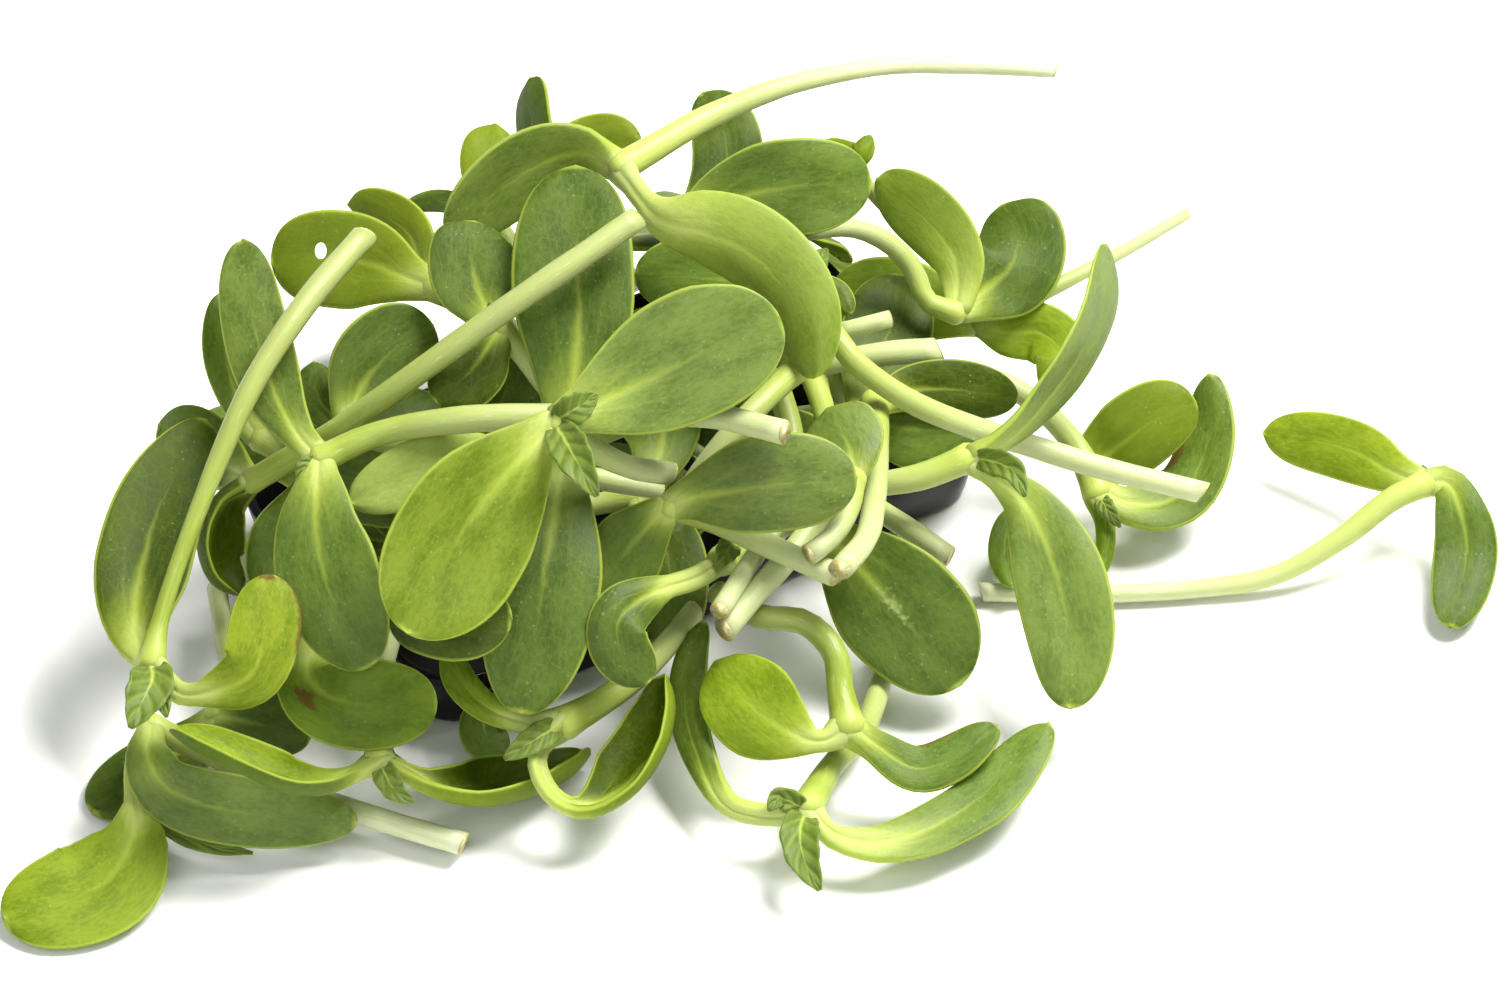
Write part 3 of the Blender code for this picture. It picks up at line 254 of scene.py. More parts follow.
LEFT_SPROUTS = (
    Sprout(
        "sprout_crossing",
        ((3.0, 37.8, 57.0, 1.55), (-5.0, 32.2, 54.5, 1.6), (-14.0, 26.0, 50.5, 1.6),
         (-26.0, 17.3, 42.5, 1.6), (-36.0, 10.3, 33.5, 1.6), (-46.0, 4.5, 25.0, 1.6)),
        (Leaf(((-49.8, 1.8, 22.0), (-51.6, -3.0, 18.0), (-50.6, -7.3, 14.5), (-47.2, -9.8, 12.5)),
              12.0, 55.0, 80.0, look="hollow"),
         Leaf(((-50.0, 7.0, 22.0), (-54.0, 10.0, 21.0), (-58.0, 11.5, 19.0)), 8.5, look="green")),
        pale=0.15,
    ),
    Sprout(
        "sprout_left_tall",
        ((-31.7, 35.6, 47.0, 1.6), (-39.0, 27.0, 45.5, 1.6), (-45.5, 17.0, 41.0, 1.5),
         (-50.0, 7.0, 35.0, 1.3), (-54.3, -4.0, 28.5, 1.1), (-57.2, -13.0, 23.0, 1.1),
         (-58.3, -18.5, 20.0, 1.8)),
        (Leaf(((-60.3, -14.5, 20.0), (-60.0, -8.0, 22.0), (-57.4, 1.5, 24.5), (-51.6, 12.3, 27.0)),
              12.2, widest=0.42, look="murk"),
         Leaf(((-54.5, -22.2, 20.5), (-49.5, -21.6, 22.5), (-45.5, -19.5, 25.0),
               (-43.8, -14.0, 28.5), (-43.2, -7.2, 32.0)), 9.5, stalk=0.3, look="lime",
              scars=((0.98, -0.2, 0.9, 0.2), (0.85, 1.0, 0.5, 0.2)))),
        (Bud(((-58.2, -20.6, 21.5), (-59.4, -23.4, 21.3), (-60.8, -26.6, 20.2)), 5.8),
         Bud(((-57.2, -21.2, 20.5), (-56.3, -25.2, 19.5)), 3.0)),
        pale=0.1,
    ),
    Sprout(
        "sprout_left_pair",
        ((-4.8, 12.7, 40.7, 1.6), (-10.0, 12.7, 41.2, 1.7), (-20.0, 12.2, 41.0, 1.8),
         (-29.5, 10.6, 38.5, 1.6), (-37.0, 7.3, 36.0, 1.8)),
        (Leaf(((-40.0, 10.6, 37.0), (-43.0, 16.0, 37.0), (-45.6, 24.5, 38.0), (-47.3, 35.3, 40.0)),
              8.8, look="shade"),
         Leaf(((-37.3, 3.2, 35.5), (-37.3, -2.8, 32.5), (-35.4, -10.0, 29.0), (-30.8, -19.0, 23.0)),
              13.5, -12.0, look="green")),
        (Bud(((-38.8, 6.5, 36.5), (-40.0, 4.6, 35.5)), 2.2),),
        pale=0.2,
    ),
    Sprout(
        "sprout_mid_left",
        ((-8.0, 16.0, 36.0, 1.5), (-11.0, 20.0, 40.0, 1.5), (-14.3, 24.0, 43.0, 1.8)),
        (Leaf(((-16.0, 26.5, 44.5), (-17.5, 30.0, 46.0), (-18.2, 34.0, 47.5), (-17.8, 37.5, 48.5)),
              11.8, look="dark"),
         Leaf(((-16.0, 21.5, 42.5), (-18.5, 18.0, 41.0), (-22.5, 14.5, 39.5)), 9.0, look="murk")),
        (Bud(((-15.0, 25.5, 45.5), (-15.8, 27.2, 46.5)), 1.8),),
    ),
    Sprout(
        "sprout_left_shade",
        ((-20.0, 8.0, 27.0, 1.4), (-27.0, 9.0, 29.0, 1.4), (-33.5, 11.0, 30.0, 1.7)),
        (Leaf(((-33.0, 14.0, 32.0), (-31.0, 18.0, 35.0), (-27.5, 21.5, 37.5), (-22.8, 24.3, 39.0)),
              12.0, 0.0, 20.0, look="dark"),
         Leaf(((-36.0, 13.0, 30.5), (-37.7, 16.0, 31.5), (-38.0, 19.7, 32.5)), 5.5, look="dark")),
    ),
    Sprout(
        "sprout_left_back",
        ((-34.0, 5.0, 20.0, 1.4), (-40.0, 7.0, 21.0, 1.4), (-45.0, 10.0, 23.0, 1.7)),
        (Leaf(((-47.0, 13.0, 25.0), (-49.3, 20.0, 29.0), (-50.0, 28.5, 32.0)), 6.0, look="green"),
         Leaf(((-37.5, 12.5, 25.0), (-33.0, 18.0, 28.0), (-30.5, 23.5, 30.0)), 6.0, look="dark")),
    ),
    Sprout(
        "sprout_under_centre",
        ((6.0, 3.5, 23.5, 1.4), (-3.0, 5.0, 26.0, 1.4), (-12.0, 6.8, 30.5, 1.8)),
        (Leaf(((-16.0, 7.5, 33.5), (-21.0, 6.5, 35.0), (-27.0, 4.5, 34.0), (-33.3, 1.8, 32.0)), 8.5,
              look="pale"),),
    ),
    Sprout(
        "sprout_low_left",
        ((-12.0, -6.0, 19.0, 1.4), (-22.0, -8.0, 20.0, 1.4), (-32.5, -11.0, 19.0, 1.8)),
        (Leaf(((-38.3, -17.5, 16.8), (-37.5, -21.5, 17.0), (-32.0, -23.6, 17.3), (-22.2, -23.4, 17.0)),
              12.5, stalk=0.2, look="olive", scars=((0.5, 0.35, 0.2, 1.0),)),
         Leaf(((-28.0, -9.5, 22.0), (-23.0, -11.0, 26.5), (-18.0, -12.5, 29.5), (-12.8, -12.8, 30.5)),
              12.8, look="dark")),
    ),
)

MIDDLE_SPROUTS = (
    Sprout(
        "sprout_centre",
        ((7.0, 5.5, 33.5, 1.5), (2.0, 6.3, 36.5, 1.5), (-3.5, 9.0, 42.0, 1.6),
         (-7.5, 12.0, 47.0, 1.9)),
        (Leaf(((-2.5, 14.2, 48.0), (4.5, 17.4, 49.5), (12.0, 21.2, 52.5), (21.3, 24.6, 55.0)), 16.5,
              look="bloom"),
         Leaf(((-10.8, 8.5, 46.0), (-16.3, 2.0, 43.0), (-21.5, -6.0, 38.5), (-26.0, -14.6, 34.0)),
              18.0, 10.0, look="olive")),
        (Bud(((-5.5, 13.2, 49.3), (-2.0, 15.4, 50.6)), 4.0),
         Bud(((-6.0, 9.5, 48.0), (-4.0, 6.0, 48.0), (-2.0, 2.6, 46.0)), 5.0)),
    ),
    Sprout(
        "sprout_upright",
        ((21.5, 10.7, 45.0, 1.6), (12.0, 12.8, 43.5, 1.6), (4.0, 12.6, 41.0, 1.6),
         (-2.0, 10.5, 36.5, 1.6), (-6.5, 8.5, 34.0, 1.8)),
        (Leaf(((-5.5, 14.5, 39.0), (-4.5, 24.0, 45.5), (-4.8, 34.5, 51.0), (-5.0, 44.6, 55.0)), 15.8,
              look="dark"),
         Leaf(((-7.0, 4.5, 34.0), (-8.3, -4.0, 31.0), (-9.8, -14.0, 25.5), (-11.8, -24.8, 18.5)),
              14.8, look="dark")),
    ),
    Sprout(
        "sprout_mid_right",
        ((28.3, -7.4, 26.5, 1.6), (19.5, -3.6, 26.7, 1.6), (12.5, -0.4, 28.0, 1.6),
         (7.0, 1.3, 31.0, 1.9)),
        (Leaf(((10.0, 2.4, 33.0), (16.0, 3.4, 36.0), (22.5, 4.2, 37.5), (30.8, 5.0, 37.5)), 13.0,
              look="shade"),
         Leaf(((4.5, -1.0, 29.5), (1.5, -4.5, 26.5), (-2.0, -10.0, 23.0)), 10.0, look="green")),
    ),
    Sprout(
        "sprout_mid_low",
        ((21.5, -1.2, 18.6, 1.4), (18.0, -3.4, 19.4, 1.4), (14.0, -5.3, 21.0, 2.0)),
        (Leaf(((10.5, -7.6, 24.3), (5.3, -9.4, 26.6), (1.0, -12.4, 26.8), (0.8, -16.5, 24.0),
               (4.6, -20.8, 20.5)), 8.0, stalk=0.42, widest=0.6, look="dark"),),
        (Bud(((14.5, -4.0, 24.0), (13.0, -6.5, 24.0)), 3.0),),
    ),
    Sprout(
        "sprout_cut_a",
        ((13.4, -11.8, 24.5, 1.3), (17.3, -5.7, 24.0, 1.3), (21.5, 1.5, 25.0, 1.4),
         (22.5, 10.0, 28.0, 1.5), (20.5, 17.0, 31.0, 1.6)),
        (Leaf(((17.5, 20.0, 30.5), (14.0, 22.5, 30.5), (10.5, 24.5, 30.0)), 7.0, look="green"),),
    ),
    Sprout(
        "sprout_cut_b",
        ((14.0, -14.2, 21.7, 1.6), (18.0, -9.5, 22.5, 1.6), (22.5, -4.5, 23.5, 1.5),
         (26.8, 2.0, 25.0, 1.5), (27.3, 10.0, 28.0, 1.5), (25.5, 17.0, 29.5, 1.5)),
        (Leaf(((23.5, 21.5, 29.5), (19.0, 26.0, 29.5), (13.0, 29.5, 29.5)), 6.0, look="green"),),
    ),
    Sprout(
        "sprout_cut_c",
        ((24.7, -4.7, 29.5, 1.4), (27.8, -2.3, 30.0, 1.4), (29.8, 1.3, 30.5, 1.4),
         (30.3, 5.0, 31.0, 1.6)),
        (Leaf(((30.2, 7.5, 32.5), (29.2, 10.3, 33.5), (27.0, 13.8, 34.5)), 10.5, look="bloom"),),
    ),
    Sprout(
        "sprout_cut_d",
        ((28.6, -6.6, 30.5, 1.5), (31.7, -3.0, 29.0, 1.5), (32.8, 1.0, 27.5, 1.5),
         (33.3, 7.0, 27.5, 1.5), (33.0, 14.5, 25.0, 1.8)),
        (Leaf(((37.0, 16.0, 24.0), (41.5, 16.3, 23.5), (46.5, 15.8, 22.0), (51.4, 15.0, 20.0)), 7.6,
              look="murk"),),
    ),
    Sprout(
        "sprout_cut_e",
        ((42.5, -5.0, 14.5, 1.4), (38.0, -2.0, 16.0, 1.4), (33.0, 1.3, 17.5, 1.4),
         (28.5, 4.5, 18.0, 1.4)),
        (Leaf(((25.0, 9.5, 18.0), (18.0, 11.0, 18.0), (10.0, 10.5, 18.5)), 7.0, look="dark"),),
    ),
    Sprout(
        "sprout_cut_f",
        ((35.0, 25.2, 29.0, 1.1), (29.0, 23.6, 28.5, 1.2), (21.0, 21.5, 27.0, 1.3)),
        (Leaf(((17.0, 18.0, 26.0), (12.0, 13.0, 24.0)), 7.0, look="dark"),),
    ),
    Sprout(
        "sprout_cut_g",
        ((41.2, 21.2, 26.0, 1.6), (35.0, 20.8, 26.0, 1.6), (27.0, 19.5, 25.5, 1.5),
         (18.0, 17.0, 23.0, 1.5)),
        (Leaf(((13.0, 18.5, 23.0), (7.0, 19.0, 24.0)), 7.0, look="green"),),
    ),
    Sprout(
        "sprout_slant",
        ((7.0, -1.0, 25.5, 1.5), (11.0, 5.5, 32.0, 1.5), (14.8, 10.5, 36.0, 1.5),
         (19.0, 14.8, 37.5, 1.5), (22.8, 18.5, 37.3, 1.7)),
        (Leaf(((22.0, 22.0, 38.0), (19.0, 25.5, 39.5)), 6.0, look="green"),),
    ),
)

RIGHT_SPROUTS = (
    Sprout(
        "sprout_right_stem",
        ((74.7, 3.1, 13.0, 1.4), (62.0, 6.2, 16.0, 1.5), (53.0, 9.0, 19.0, 1.5),
         (46.0, 11.2, 22.5, 1.5), (38.0, 14.4, 27.5, 1.5), (31.0, 19.2, 32.5, 1.5),
         (27.5, 23.5, 35.0, 1.5), (23.0, 28.0, 37.0, 1.7)),
        (Leaf(((18.0, 29.7, 38.0), (10.5, 30.4, 40.0), (2.6, 30.8, 41.0)), 10.5, look="green"),
         Leaf(((25.5, 29.0, 36.0), (28.0, 28.3, 34.5), (30.0, 25.8, 33.0)), 4.0, look="green")),
        (Bud(((25.0, 31.5, 39.0), (27.0, 34.0, 39.0)), 3.0),),
        pale=0.6,
    ),
    Sprout(
        "sprout_right_node",
        ((21.5, 1.8, 21.3, 1.5), (25.0, 2.5, 21.8, 1.5), (31.0, 3.8, 23.0, 1.6),
         (38.5, 5.0, 24.5, 1.7), (45.0, 7.5, 26.0, 1.9)),
        (Leaf(((49.5, 10.0, 27.5), (53.8, 13.8, 29.0), (58.5, 20.0, 32.0), (61.8, 27.0, 35.0),
               (62.6, 34.7, 39.0)), 11.0, -64.0, 8.0, look="bloom"),
         Leaf(((48.8, 4.6, 25.5), (52.3, 1.5, 24.5), (55.5, -5.5, 21.0), (57.5, -14.5, 15.5),
               (57.7, -24.2, 9.5)), 12.0, stalk=0.12, look="bloom")),
        (Bud(((48.0, 7.0, 28.0), (50.5, 5.8, 28.5), (52.0, 2.6, 27.5)), 3.5),),
        pale=0.5,
    ),
    Sprout(
        "sprout_right_cluster",
        ((44.0, 18.5, 17.0, 1.4), (50.0, 16.8, 16.5, 1.4), (55.0, 13.2, 13.5, 1.5),
         (59.0, 8.5, 10.0, 1.6), (61.5, 3.0, 7.5, 2.0)),
        (Leaf(((62.0, 7.0, 9.0), (65.0, 9.7, 12.0), (69.0, 12.5, 14.5), (74.0, 14.8, 16.0)), 10.5,
              look="glow"),
         Leaf(((65.0, 1.5, 7.0), (69.5, 1.5, 6.5), (73.5, 4.2, 7.5), (75.7, 10.5, 10.5),
               (75.8, 18.3, 15.5)), 8.8, 30.0, 20.0, widest=0.4, look="green",
              scars=((0.62, -0.9, 0.34, 1.0),)),
         Leaf(((62.4, -1.0, 6.0), (62.2, -5.0, 4.5), (60.6, -8.3, 3.5)), 2.6, look="olive")),
        (Bud(((62.6, 1.0, 8.0), (64.3, -1.3, 7.0)), 2.2),),
    ),
    Sprout(
        "sprout_right_low",
        ((57.5, -9.5, 4.5, 1.3), (55.5, -4.0, 4.8, 1.3), (52.5, 0.5, 5.5, 1.5)),
        (Leaf(((50.3, -1.0, 6.0), (49.6, -5.0, 5.0), (51.0, -9.0, 4.5)), 4.5, look="green"),),
    ),
    Sprout(
        "sprout_dark_leaf",
        ((22.5, 5.0, 15.5, 1.4), (24.0, 2.5, 16.0, 1.4), (26.0, -1.0, 16.0, 1.7)),
        (Leaf(((28.8, -4.0, 15.5), (33.0, -8.5, 14.0), (37.8, -14.0, 11.0), (43.8, -21.3, 7.0)),
              16.0, look="dark",
              scars=((0.46, -0.02, 0.22, -0.8), (0.54, 0.02, 0.22, -1.0), (0.62, 0.05, 0.18, -0.8))),),
    ),
    Sprout(
        "sprout_stray",
        ((46.6, -9.5, 1.7, 1.2), (55.0, -9.8, 1.7, 1.2), (65.0, -9.7, 1.7, 1.2),
         (75.0, -9.0, 1.8, 1.2), (84.0, -7.4, 2.8, 1.3), (92.0, -3.0, 6.0, 1.4),
         (98.5, 2.0, 9.0, 1.6), (103.0, 4.2, 10.0, 1.7)),
        (Leaf(((98.5, 6.0, 9.5), (94.5, 8.2, 9.0), (89.0, 9.8, 8.0), (82.6, 10.8, 7.0)), 8.5,
              look="lime"),
         Leaf(((105.8, 4.4, 10.0), (107.5, 1.0, 9.0), (108.3, -5.0, 5.5), (106.2, -14.0, 2.5)), 8.3,
              look="dark")),
        (Bud(((102.8, 6.6, 10.5),), 1.5),),
        pale=0.9,
    ),
)

FRONT_SPROUTS = (
    Sprout(
        "sprout_left_front",
        ((-19.0, -41.2, 3.0, 1.5), (-30.0, -38.0, 3.5, 1.5), (-42.0, -34.0, 4.0, 1.5),
         (-52.0, -29.5, 5.5, 1.5), (-58.5, -26.5, 8.5, 1.7)),
        (Leaf(((-58.7, -30.5, 10.5), (-55.5, -34.8, 8.5), (-46.0, -37.4, 6.5), (-32.3, -38.3, 6.0)),
              9.2, look="bloom"),
         Leaf(((-60.3, -31.0, 8.0), (-60.3, -36.5, 6.0), (-60.8, -41.5, 4.5), (-65.5, -47.3, 3.0),
               (-76.8, -50.6, 2.5)), 15.5, stalk=0.3, tilt=0.7, look="lime")),
        (Bud(((-57.5, -33.0, 4.5), (-57.0, -38.0, 3.0), (-51.5, -41.3, 2.3), (-45.5, -42.4, 2.3)),
             2.8),),
        # Partly painted light: full whiteness lightens this stem where the boat-shaped leaf's shadow
        # falls on it.
        pale=1.0,
    ),
    Sprout(
        "sprout_front_fold",
        ((-26.0, -8.0, 14.5, 1.4), (-28.5, -16.0, 13.7, 1.4), (-30.0, -24.0, 12.6, 1.4),
         (-29.5, -30.8, 11.0, 2.0)),
        (Leaf(((-32.5, -32.4, 12.0), (-36.5, -34.0, 13.0), (-41.0, -34.0, 14.5),
               (-46.5, -31.8, 16.5), (-52.0, -29.0, 18.0), (-55.8, -26.6, 19.0)),
              12.0, -65.0, 85.0, stalk=0.15, widest=0.5, look="boat"),
         Leaf(((-26.6, -32.2, 10.5), (-23.0, -34.2, 9.0), (-17.3, -35.6, 6.0),
               (-11.5, -34.8, 3.8), (-6.5, -32.4, 2.6), (-3.2, -29.8, 2.6)),
              13.0, 64.0, 85.0, stalk=0.1, widest=0.5, look="deep")),
        (Bud(((-28.6, -32.8, 12.0), (-27.5, -34.5, 10.5), (-25.2, -36.0, 9.5)), 3.2),),
        pale=0.7,
    ),
    Sprout(
        "sprout_low_dark",
        ((-50.5, -9.0, 7.0, 1.3), (-49.6, -14.0, 7.0, 1.3), (-48.5, -20.0, 6.5, 1.3),
         (-50.0, -25.0, 5.5, 1.8)),
        (Leaf(((-47.0, -25.8, 7.5), (-43.0, -26.5, 9.0), (-38.3, -27.8, 8.5)), 8.5, look="dark"),
         Leaf(((-54.0, -29.0, 2.2), (-60.0, -33.5, 1.7), (-66.0, -37.0, 1.4)), 12.0, tilt=0.9,
              look="dark")),
    ),
    Sprout(
        "sprout_loop",
        ((10.0, -12.0, 14.0, 1.4), (5.0, -18.0, 15.0, 1.6), (0.0, -22.3, 15.0, 1.7),
         (-6.3, -26.0, 13.0, 2.1)),
        (Leaf(((-9.3, -29.0, 12.0), (-9.6, -32.0, 10.5), (-7.4, -35.6, 8.5), (-3.4, -36.9, 7.5),
               (1.6, -34.3, 8.0), (5.2, -29.2, 10.0), (6.6, -24.3, 13.0), (6.3, -19.8, 16.0)),
              13.6, 55.0, 80.0, stalk=0.36, widest=0.5, look="deep"),
         Leaf(((-11.0, -25.9, 14.5), (-15.5, -24.3, 15.5), (-19.3, -20.8, 16.5),
               (-21.0, -16.3, 18.0)), 4.3, stalk=0.3, look="lime")),
        (Bud(((-9.0, -27.5, 14.0), (-13.8, -30.5, 13.0)), 3.6),),
        pale=0.2,
    ),
    Sprout(
        "sprout_ring",
        ((13.0, -9.5, 18.0, 1.6), (18.5, -12.6, 18.5, 1.6), (24.0, -13.3, 18.5, 1.6),
         (27.8, -17.0, 17.0, 1.6), (28.6, -22.0, 14.0, 1.8), (29.5, -26.5, 12.0, 2.2)),
        (Leaf(((26.2, -28.3, 11.5), (22.0, -27.0, 12.5), (17.3, -23.8, 14.5), (12.8, -18.2, 16.3)),
              12.0, stalk=0.2, widest=0.5, look="lime"),
         Leaf(((33.0, -29.0, 10.0), (38.0, -31.8, 8.0), (43.0, -30.5, 8.5), (48.5, -26.3, 10.5)),
              7.0, 25.0, 25.0, look="green", scars=((0.62, -1.1, 0.5, 0.2),))),
        pale=0.0,
    ),
    Sprout(
        "sprout_front_right",
        ((35.0, -15.0, 4.0, 1.3), (33.8, -21.0, 4.0, 1.4), (31.5, -27.0, 5.0, 1.5),
         (27.5, -31.5, 6.0, 1.6), (24.3, -37.0, 6.5, 2.2)),
        (Leaf(((28.5, -40.6, 6.0), (36.0, -40.8, 5.5), (46.0, -35.8, 6.0), (55.0, -26.0, 8.0)), 8.5,
              30.0, 15.0, 0.1, look="dipped"),
         Leaf(((19.5, -37.6, 6.5), (14.5, -36.3, 7.0), (11.3, -31.5, 8.0), (9.3, -25.0, 10.5),
               (9.5, -18.5, 13.0), (11.3, -13.0, 16.0)), 5.3, 20.0, 25.0, 0.25, look="green")),
        (Bud(((22.5, -36.0, 9.0), (20.8, -35.5, 9.5), (19.5, -37.0, 9.5)), 3.0),
         Bud(((23.5, -39.5, 8.0), (24.0, -43.0, 7.0), (26.0, -47.0, 5.0)), 5.0)),
        pale=0.15,
    ),
)

INNER_SPROUTS = (
    Sprout(
        "sprout_inner_left",
        ((-26.0, 0.0, 15.0, 1.4), (-33.0, 2.0, 16.5, 1.4), (-39.0, 4.0, 18.0, 1.6)),
        (Leaf(((-42.0, 7.0, 19.0), (-46.0, 9.0, 19.5), (-50.0, 12.5, 20.0)), 7.0, look="green"),
         Leaf(((-41.0, -0.5, 16.0), (-42.5, -5.0, 13.5), (-43.5, -10.5, 10.5)), 9.0, look="dark")),
    ),
    Sprout(
        "sprout_inner_mid",
        ((-3.0, 6.0, 19.5, 1.4), (-9.0, 5.5, 20.5, 1.4), (-18.0, 5.0, 22.0, 1.6)),
        (Leaf(((-24.0, 3.5, 22.0), (-31.0, 4.0, 21.5), (-38.5, 6.0, 22.0)), 11.0, look="green"),
         Leaf(((-16.0, 10.0, 28.5), (-13.5, 17.0, 32.0), (-13.0, 24.0, 36.0)), 11.0, look="dark")),
    ),
    Sprout(
        "sprout_inner_right",
        ((20.0, 12.0, 16.0, 1.4), (26.0, 13.0, 17.0, 1.4), (31.0, 13.0, 18.5, 1.6)),
        (Leaf(((35.0, 11.5, 19.0), (40.0, 11.0, 18.5), (46.5, 11.0, 17.0)), 10.0, look="green"),
         Leaf(((33.0, 18.5, 19.5), (35.0, 24.0, 21.0), (36.0, 31.0, 23.0)), 12.0, look="dark")),
    ),
    Sprout(
        "sprout_inner_centre",
        ((-10.0, 0.0, 14.0, 1.4), (-3.0, 1.5, 15.0, 1.4), (3.0, 2.5, 16.0, 1.6)),
        (Leaf(((5.0, 6.0, 19.0), (6.0, 11.0, 21.0), (4.0, 19.0, 25.0), (3.2, 26.5, 27.5)), 12.0,
              look="green"),
         Leaf(((5.5, -2.0, 17.2), (7.0, -7.0, 15.8), (7.0, -17.0, 9.5)), 10.0, look="dark")),
    ),
    Sprout(
        "sprout_inner_low",
        ((-6.0, -19.2, 7.0, 1.4), (-10.0, -21.4, 7.0, 1.4), (-14.0, -23.4, 6.3, 1.6)),
        (Leaf(((-16.3, -25.6, 5.3), (-16.0, -28.0, 4.0), (-13.5, -29.6, 3.0)), 6.5, tilt=0.6,
              look="green"),),
    ),
    Sprout(
        "sprout_back_left",
        ((-14.0, 28.0, 4.0, 1.4), (-18.0, 30.0, 9.0, 1.4), (-22.0, 31.5, 14.0, 1.6)),
        (Leaf(((-26.0, 31.0, 15.0), (-31.0, 29.5, 13.0), (-36.0, 27.5, 9.0)), 12.0, tilt=1.5,
              look="green"),
         Leaf(((-20.5, 33.5, 18.0), (-19.0, 35.0, 22.5), (-18.0, 35.5, 27.5)), 11.0, tilt=1.5,
              look="dark")),
    ),
    Sprout(
        "sprout_back_mid",
        ((2.0, 30.0, 5.0, 1.4), (0.0, 33.0, 13.0, 1.4), (-2.0, 35.5, 21.0, 1.6)),
        (Leaf(((-4.0, 37.0, 24.0), (-8.0, 38.0, 28.0), (-11.0, 38.0, 32.0)), 11.0, tilt=1.4,
              look="green"),
         Leaf(((2.5, 35.5, 20.0), (6.5, 35.8, 16.5), (11.0, 35.5, 13.5)), 11.0, tilt=1.5, look="dark")),
    ),
    Sprout(
        "sprout_back_right",
        ((16.0, 34.5, 4.0, 1.4), (17.0, 37.2, 12.0, 1.4), (18.0, 38.2, 18.5, 1.6)),
        (Leaf(((14.5, 39.3, 22.5), (10.0, 39.8, 27.0), (5.0, 39.5, 30.5)), 10.0, tilt=1.4, look="green"),
         Leaf(((22.0, 37.5, 17.0), (26.0, 35.5, 12.0), (29.0, 33.5, 8.0)), 11.0, tilt=1.5, look="dark")),
    ),
    Sprout(
        "sprout_tray_left",
        ((-6.7, 2.7, 4.4, 1.4), (-14.4, 2.7, 7.0, 1.4), (-21.9, 4.8, 11.0, 1.6)),
        (Leaf(((-25.5, 6.2, 13.0), (-31.3, 7.1, 14.5), (-38.0, 5.8, 13.5)), 12.0, tilt=1.3, look="green"),
         Leaf(((-24.5, 9.0, 14.0), (-26.6, 13.2, 16.0), (-28.3, 16.4, 16.5)), 11.0, tilt=1.5,
              look="dark")),
    ),
    Sprout(
        "sprout_tray_mid",
        ((9.4, 10.7, 4.4, 1.4), (2.7, 12.8, 8.0, 1.4), (-3.4, 14.7, 12.0, 1.6)),
        (Leaf(((-7.0, 16.1, 14.0), (-12.0, 18.2, 16.5), (-17.5, 18.0, 17.0)), 12.0, tilt=1.4,
              look="green"),
         Leaf(((-4.9, 18.6, 14.5), (-6.2, 23.6, 17.0), (-7.7, 27.3, 17.5)), 11.0, tilt=1.5, look="dark")),
    ),
    Sprout(
        "sprout_tray_right",
        ((10.5, 7.2, 4.4, 1.4), (15.5, 14.5, 8.0, 1.4), (18.8, 21.4, 12.0, 1.6)),
        (Leaf(((19.6, 25.3, 13.5), (20.1, 29.1, 14.5), (19.8, 31.1, 13.5)), 10.0, tilt=1.3, look="green"),
         Leaf(((15.7, 25.1, 14.5), (11.4, 27.9, 16.5), (6.6, 29.6, 16.5)), 12.0, tilt=1.5, look="dark")),
    ),
    Sprout(
        "sprout_tray_end",
        ((-12.7, -5.5, 4.6, 1.4), (-19.6, -5.3, 7.0, 1.4), (-25.7, -4.5, 9.5, 1.6)),
        (Leaf(((-29.9, -3.3, 10.5), (-34.0, -2.2, 11.2), (-38.8, -0.9, 11.5)), 9.0, tilt=1.2,
              look="green"),
         Leaf(((-26.8, -1.5, 10.5), (-28.1, 1.9, 11.0), (-30.5, 4.5, 10.5)), 9.0, tilt=1.3, look="dark")),
    ),
    Sprout(
        "sprout_tray_floor",
        ((21.6, 8.2, 4.4, 1.4), (15.5, 5.8, 6.0, 1.4), (9.4, 4.1, 8.5, 1.6)),
        (Leaf(((5.6, 5.5, 10.0), (-0.5, 6.3, 11.0), (-7.2, 5.7, 11.0)), 11.0, tilt=1.2, look="green"),
         Leaf(((8.6, 2.1, 9.5), (7.5, -0.4, 9.5), (4.5, -3.8, 9.0)), 9.0, tilt=1.2, look="dark")),
    ),
    Sprout(
        "sprout_tray_corner",
        ((30.5, 8.9, 4.4, 1.4), (28.8, 14.2, 6.0, 1.4), (26.8, 19.6, 9.0, 1.6)),
        (Leaf(((25.7, 23.0, 10.5), (25.4, 26.5, 11.5), (25.2, 29.6, 11.5)), 9.0, tilt=1.2, look="green"),
         Leaf(((29.6, 21.6, 10.5), (33.6, 22.7, 11.8), (37.9, 23.2, 12.5)), 8.0, tilt=1.2, look="dark")),
    ),
    Sprout(
        "sprout_table_left",
        ((-24.0, 12.0, 2.5, 1.4), (-32.0, 11.0, 2.5, 1.4), (-39.0, 9.5, 3.5, 1.6)),
        (Leaf(((-43.0, 10.5, 4.0), (-48.0, 12.0, 4.0), (-54.0, 12.0, 3.0)), 9.0, tilt=1.2, look="green"),
         Leaf(((-36.5, 13.0, 4.5), (-33.0, 16.0, 6.0), (-29.0, 18.5, 8.0)), 9.0, tilt=1.2, look="dark")),
    ),
    Sprout(
        "sprout_table_right",
        ((26.8, 27.5, 2.5, 1.4), (30.0, 27.5, 2.5, 1.4), (33.0, 27.0, 3.5, 1.6)),
        (Leaf(((35.5, 26.0, 4.0), (38.0, 24.8, 4.0), (41.0, 23.5, 3.0)), 6.0, tilt=1.2, look="green"),
         Leaf(((30.0, 30.5, 4.5), (26.0, 32.5, 4.5), (21.5, 33.5, 3.5)), 6.0, tilt=1.2, look="dark")),
    ),
)

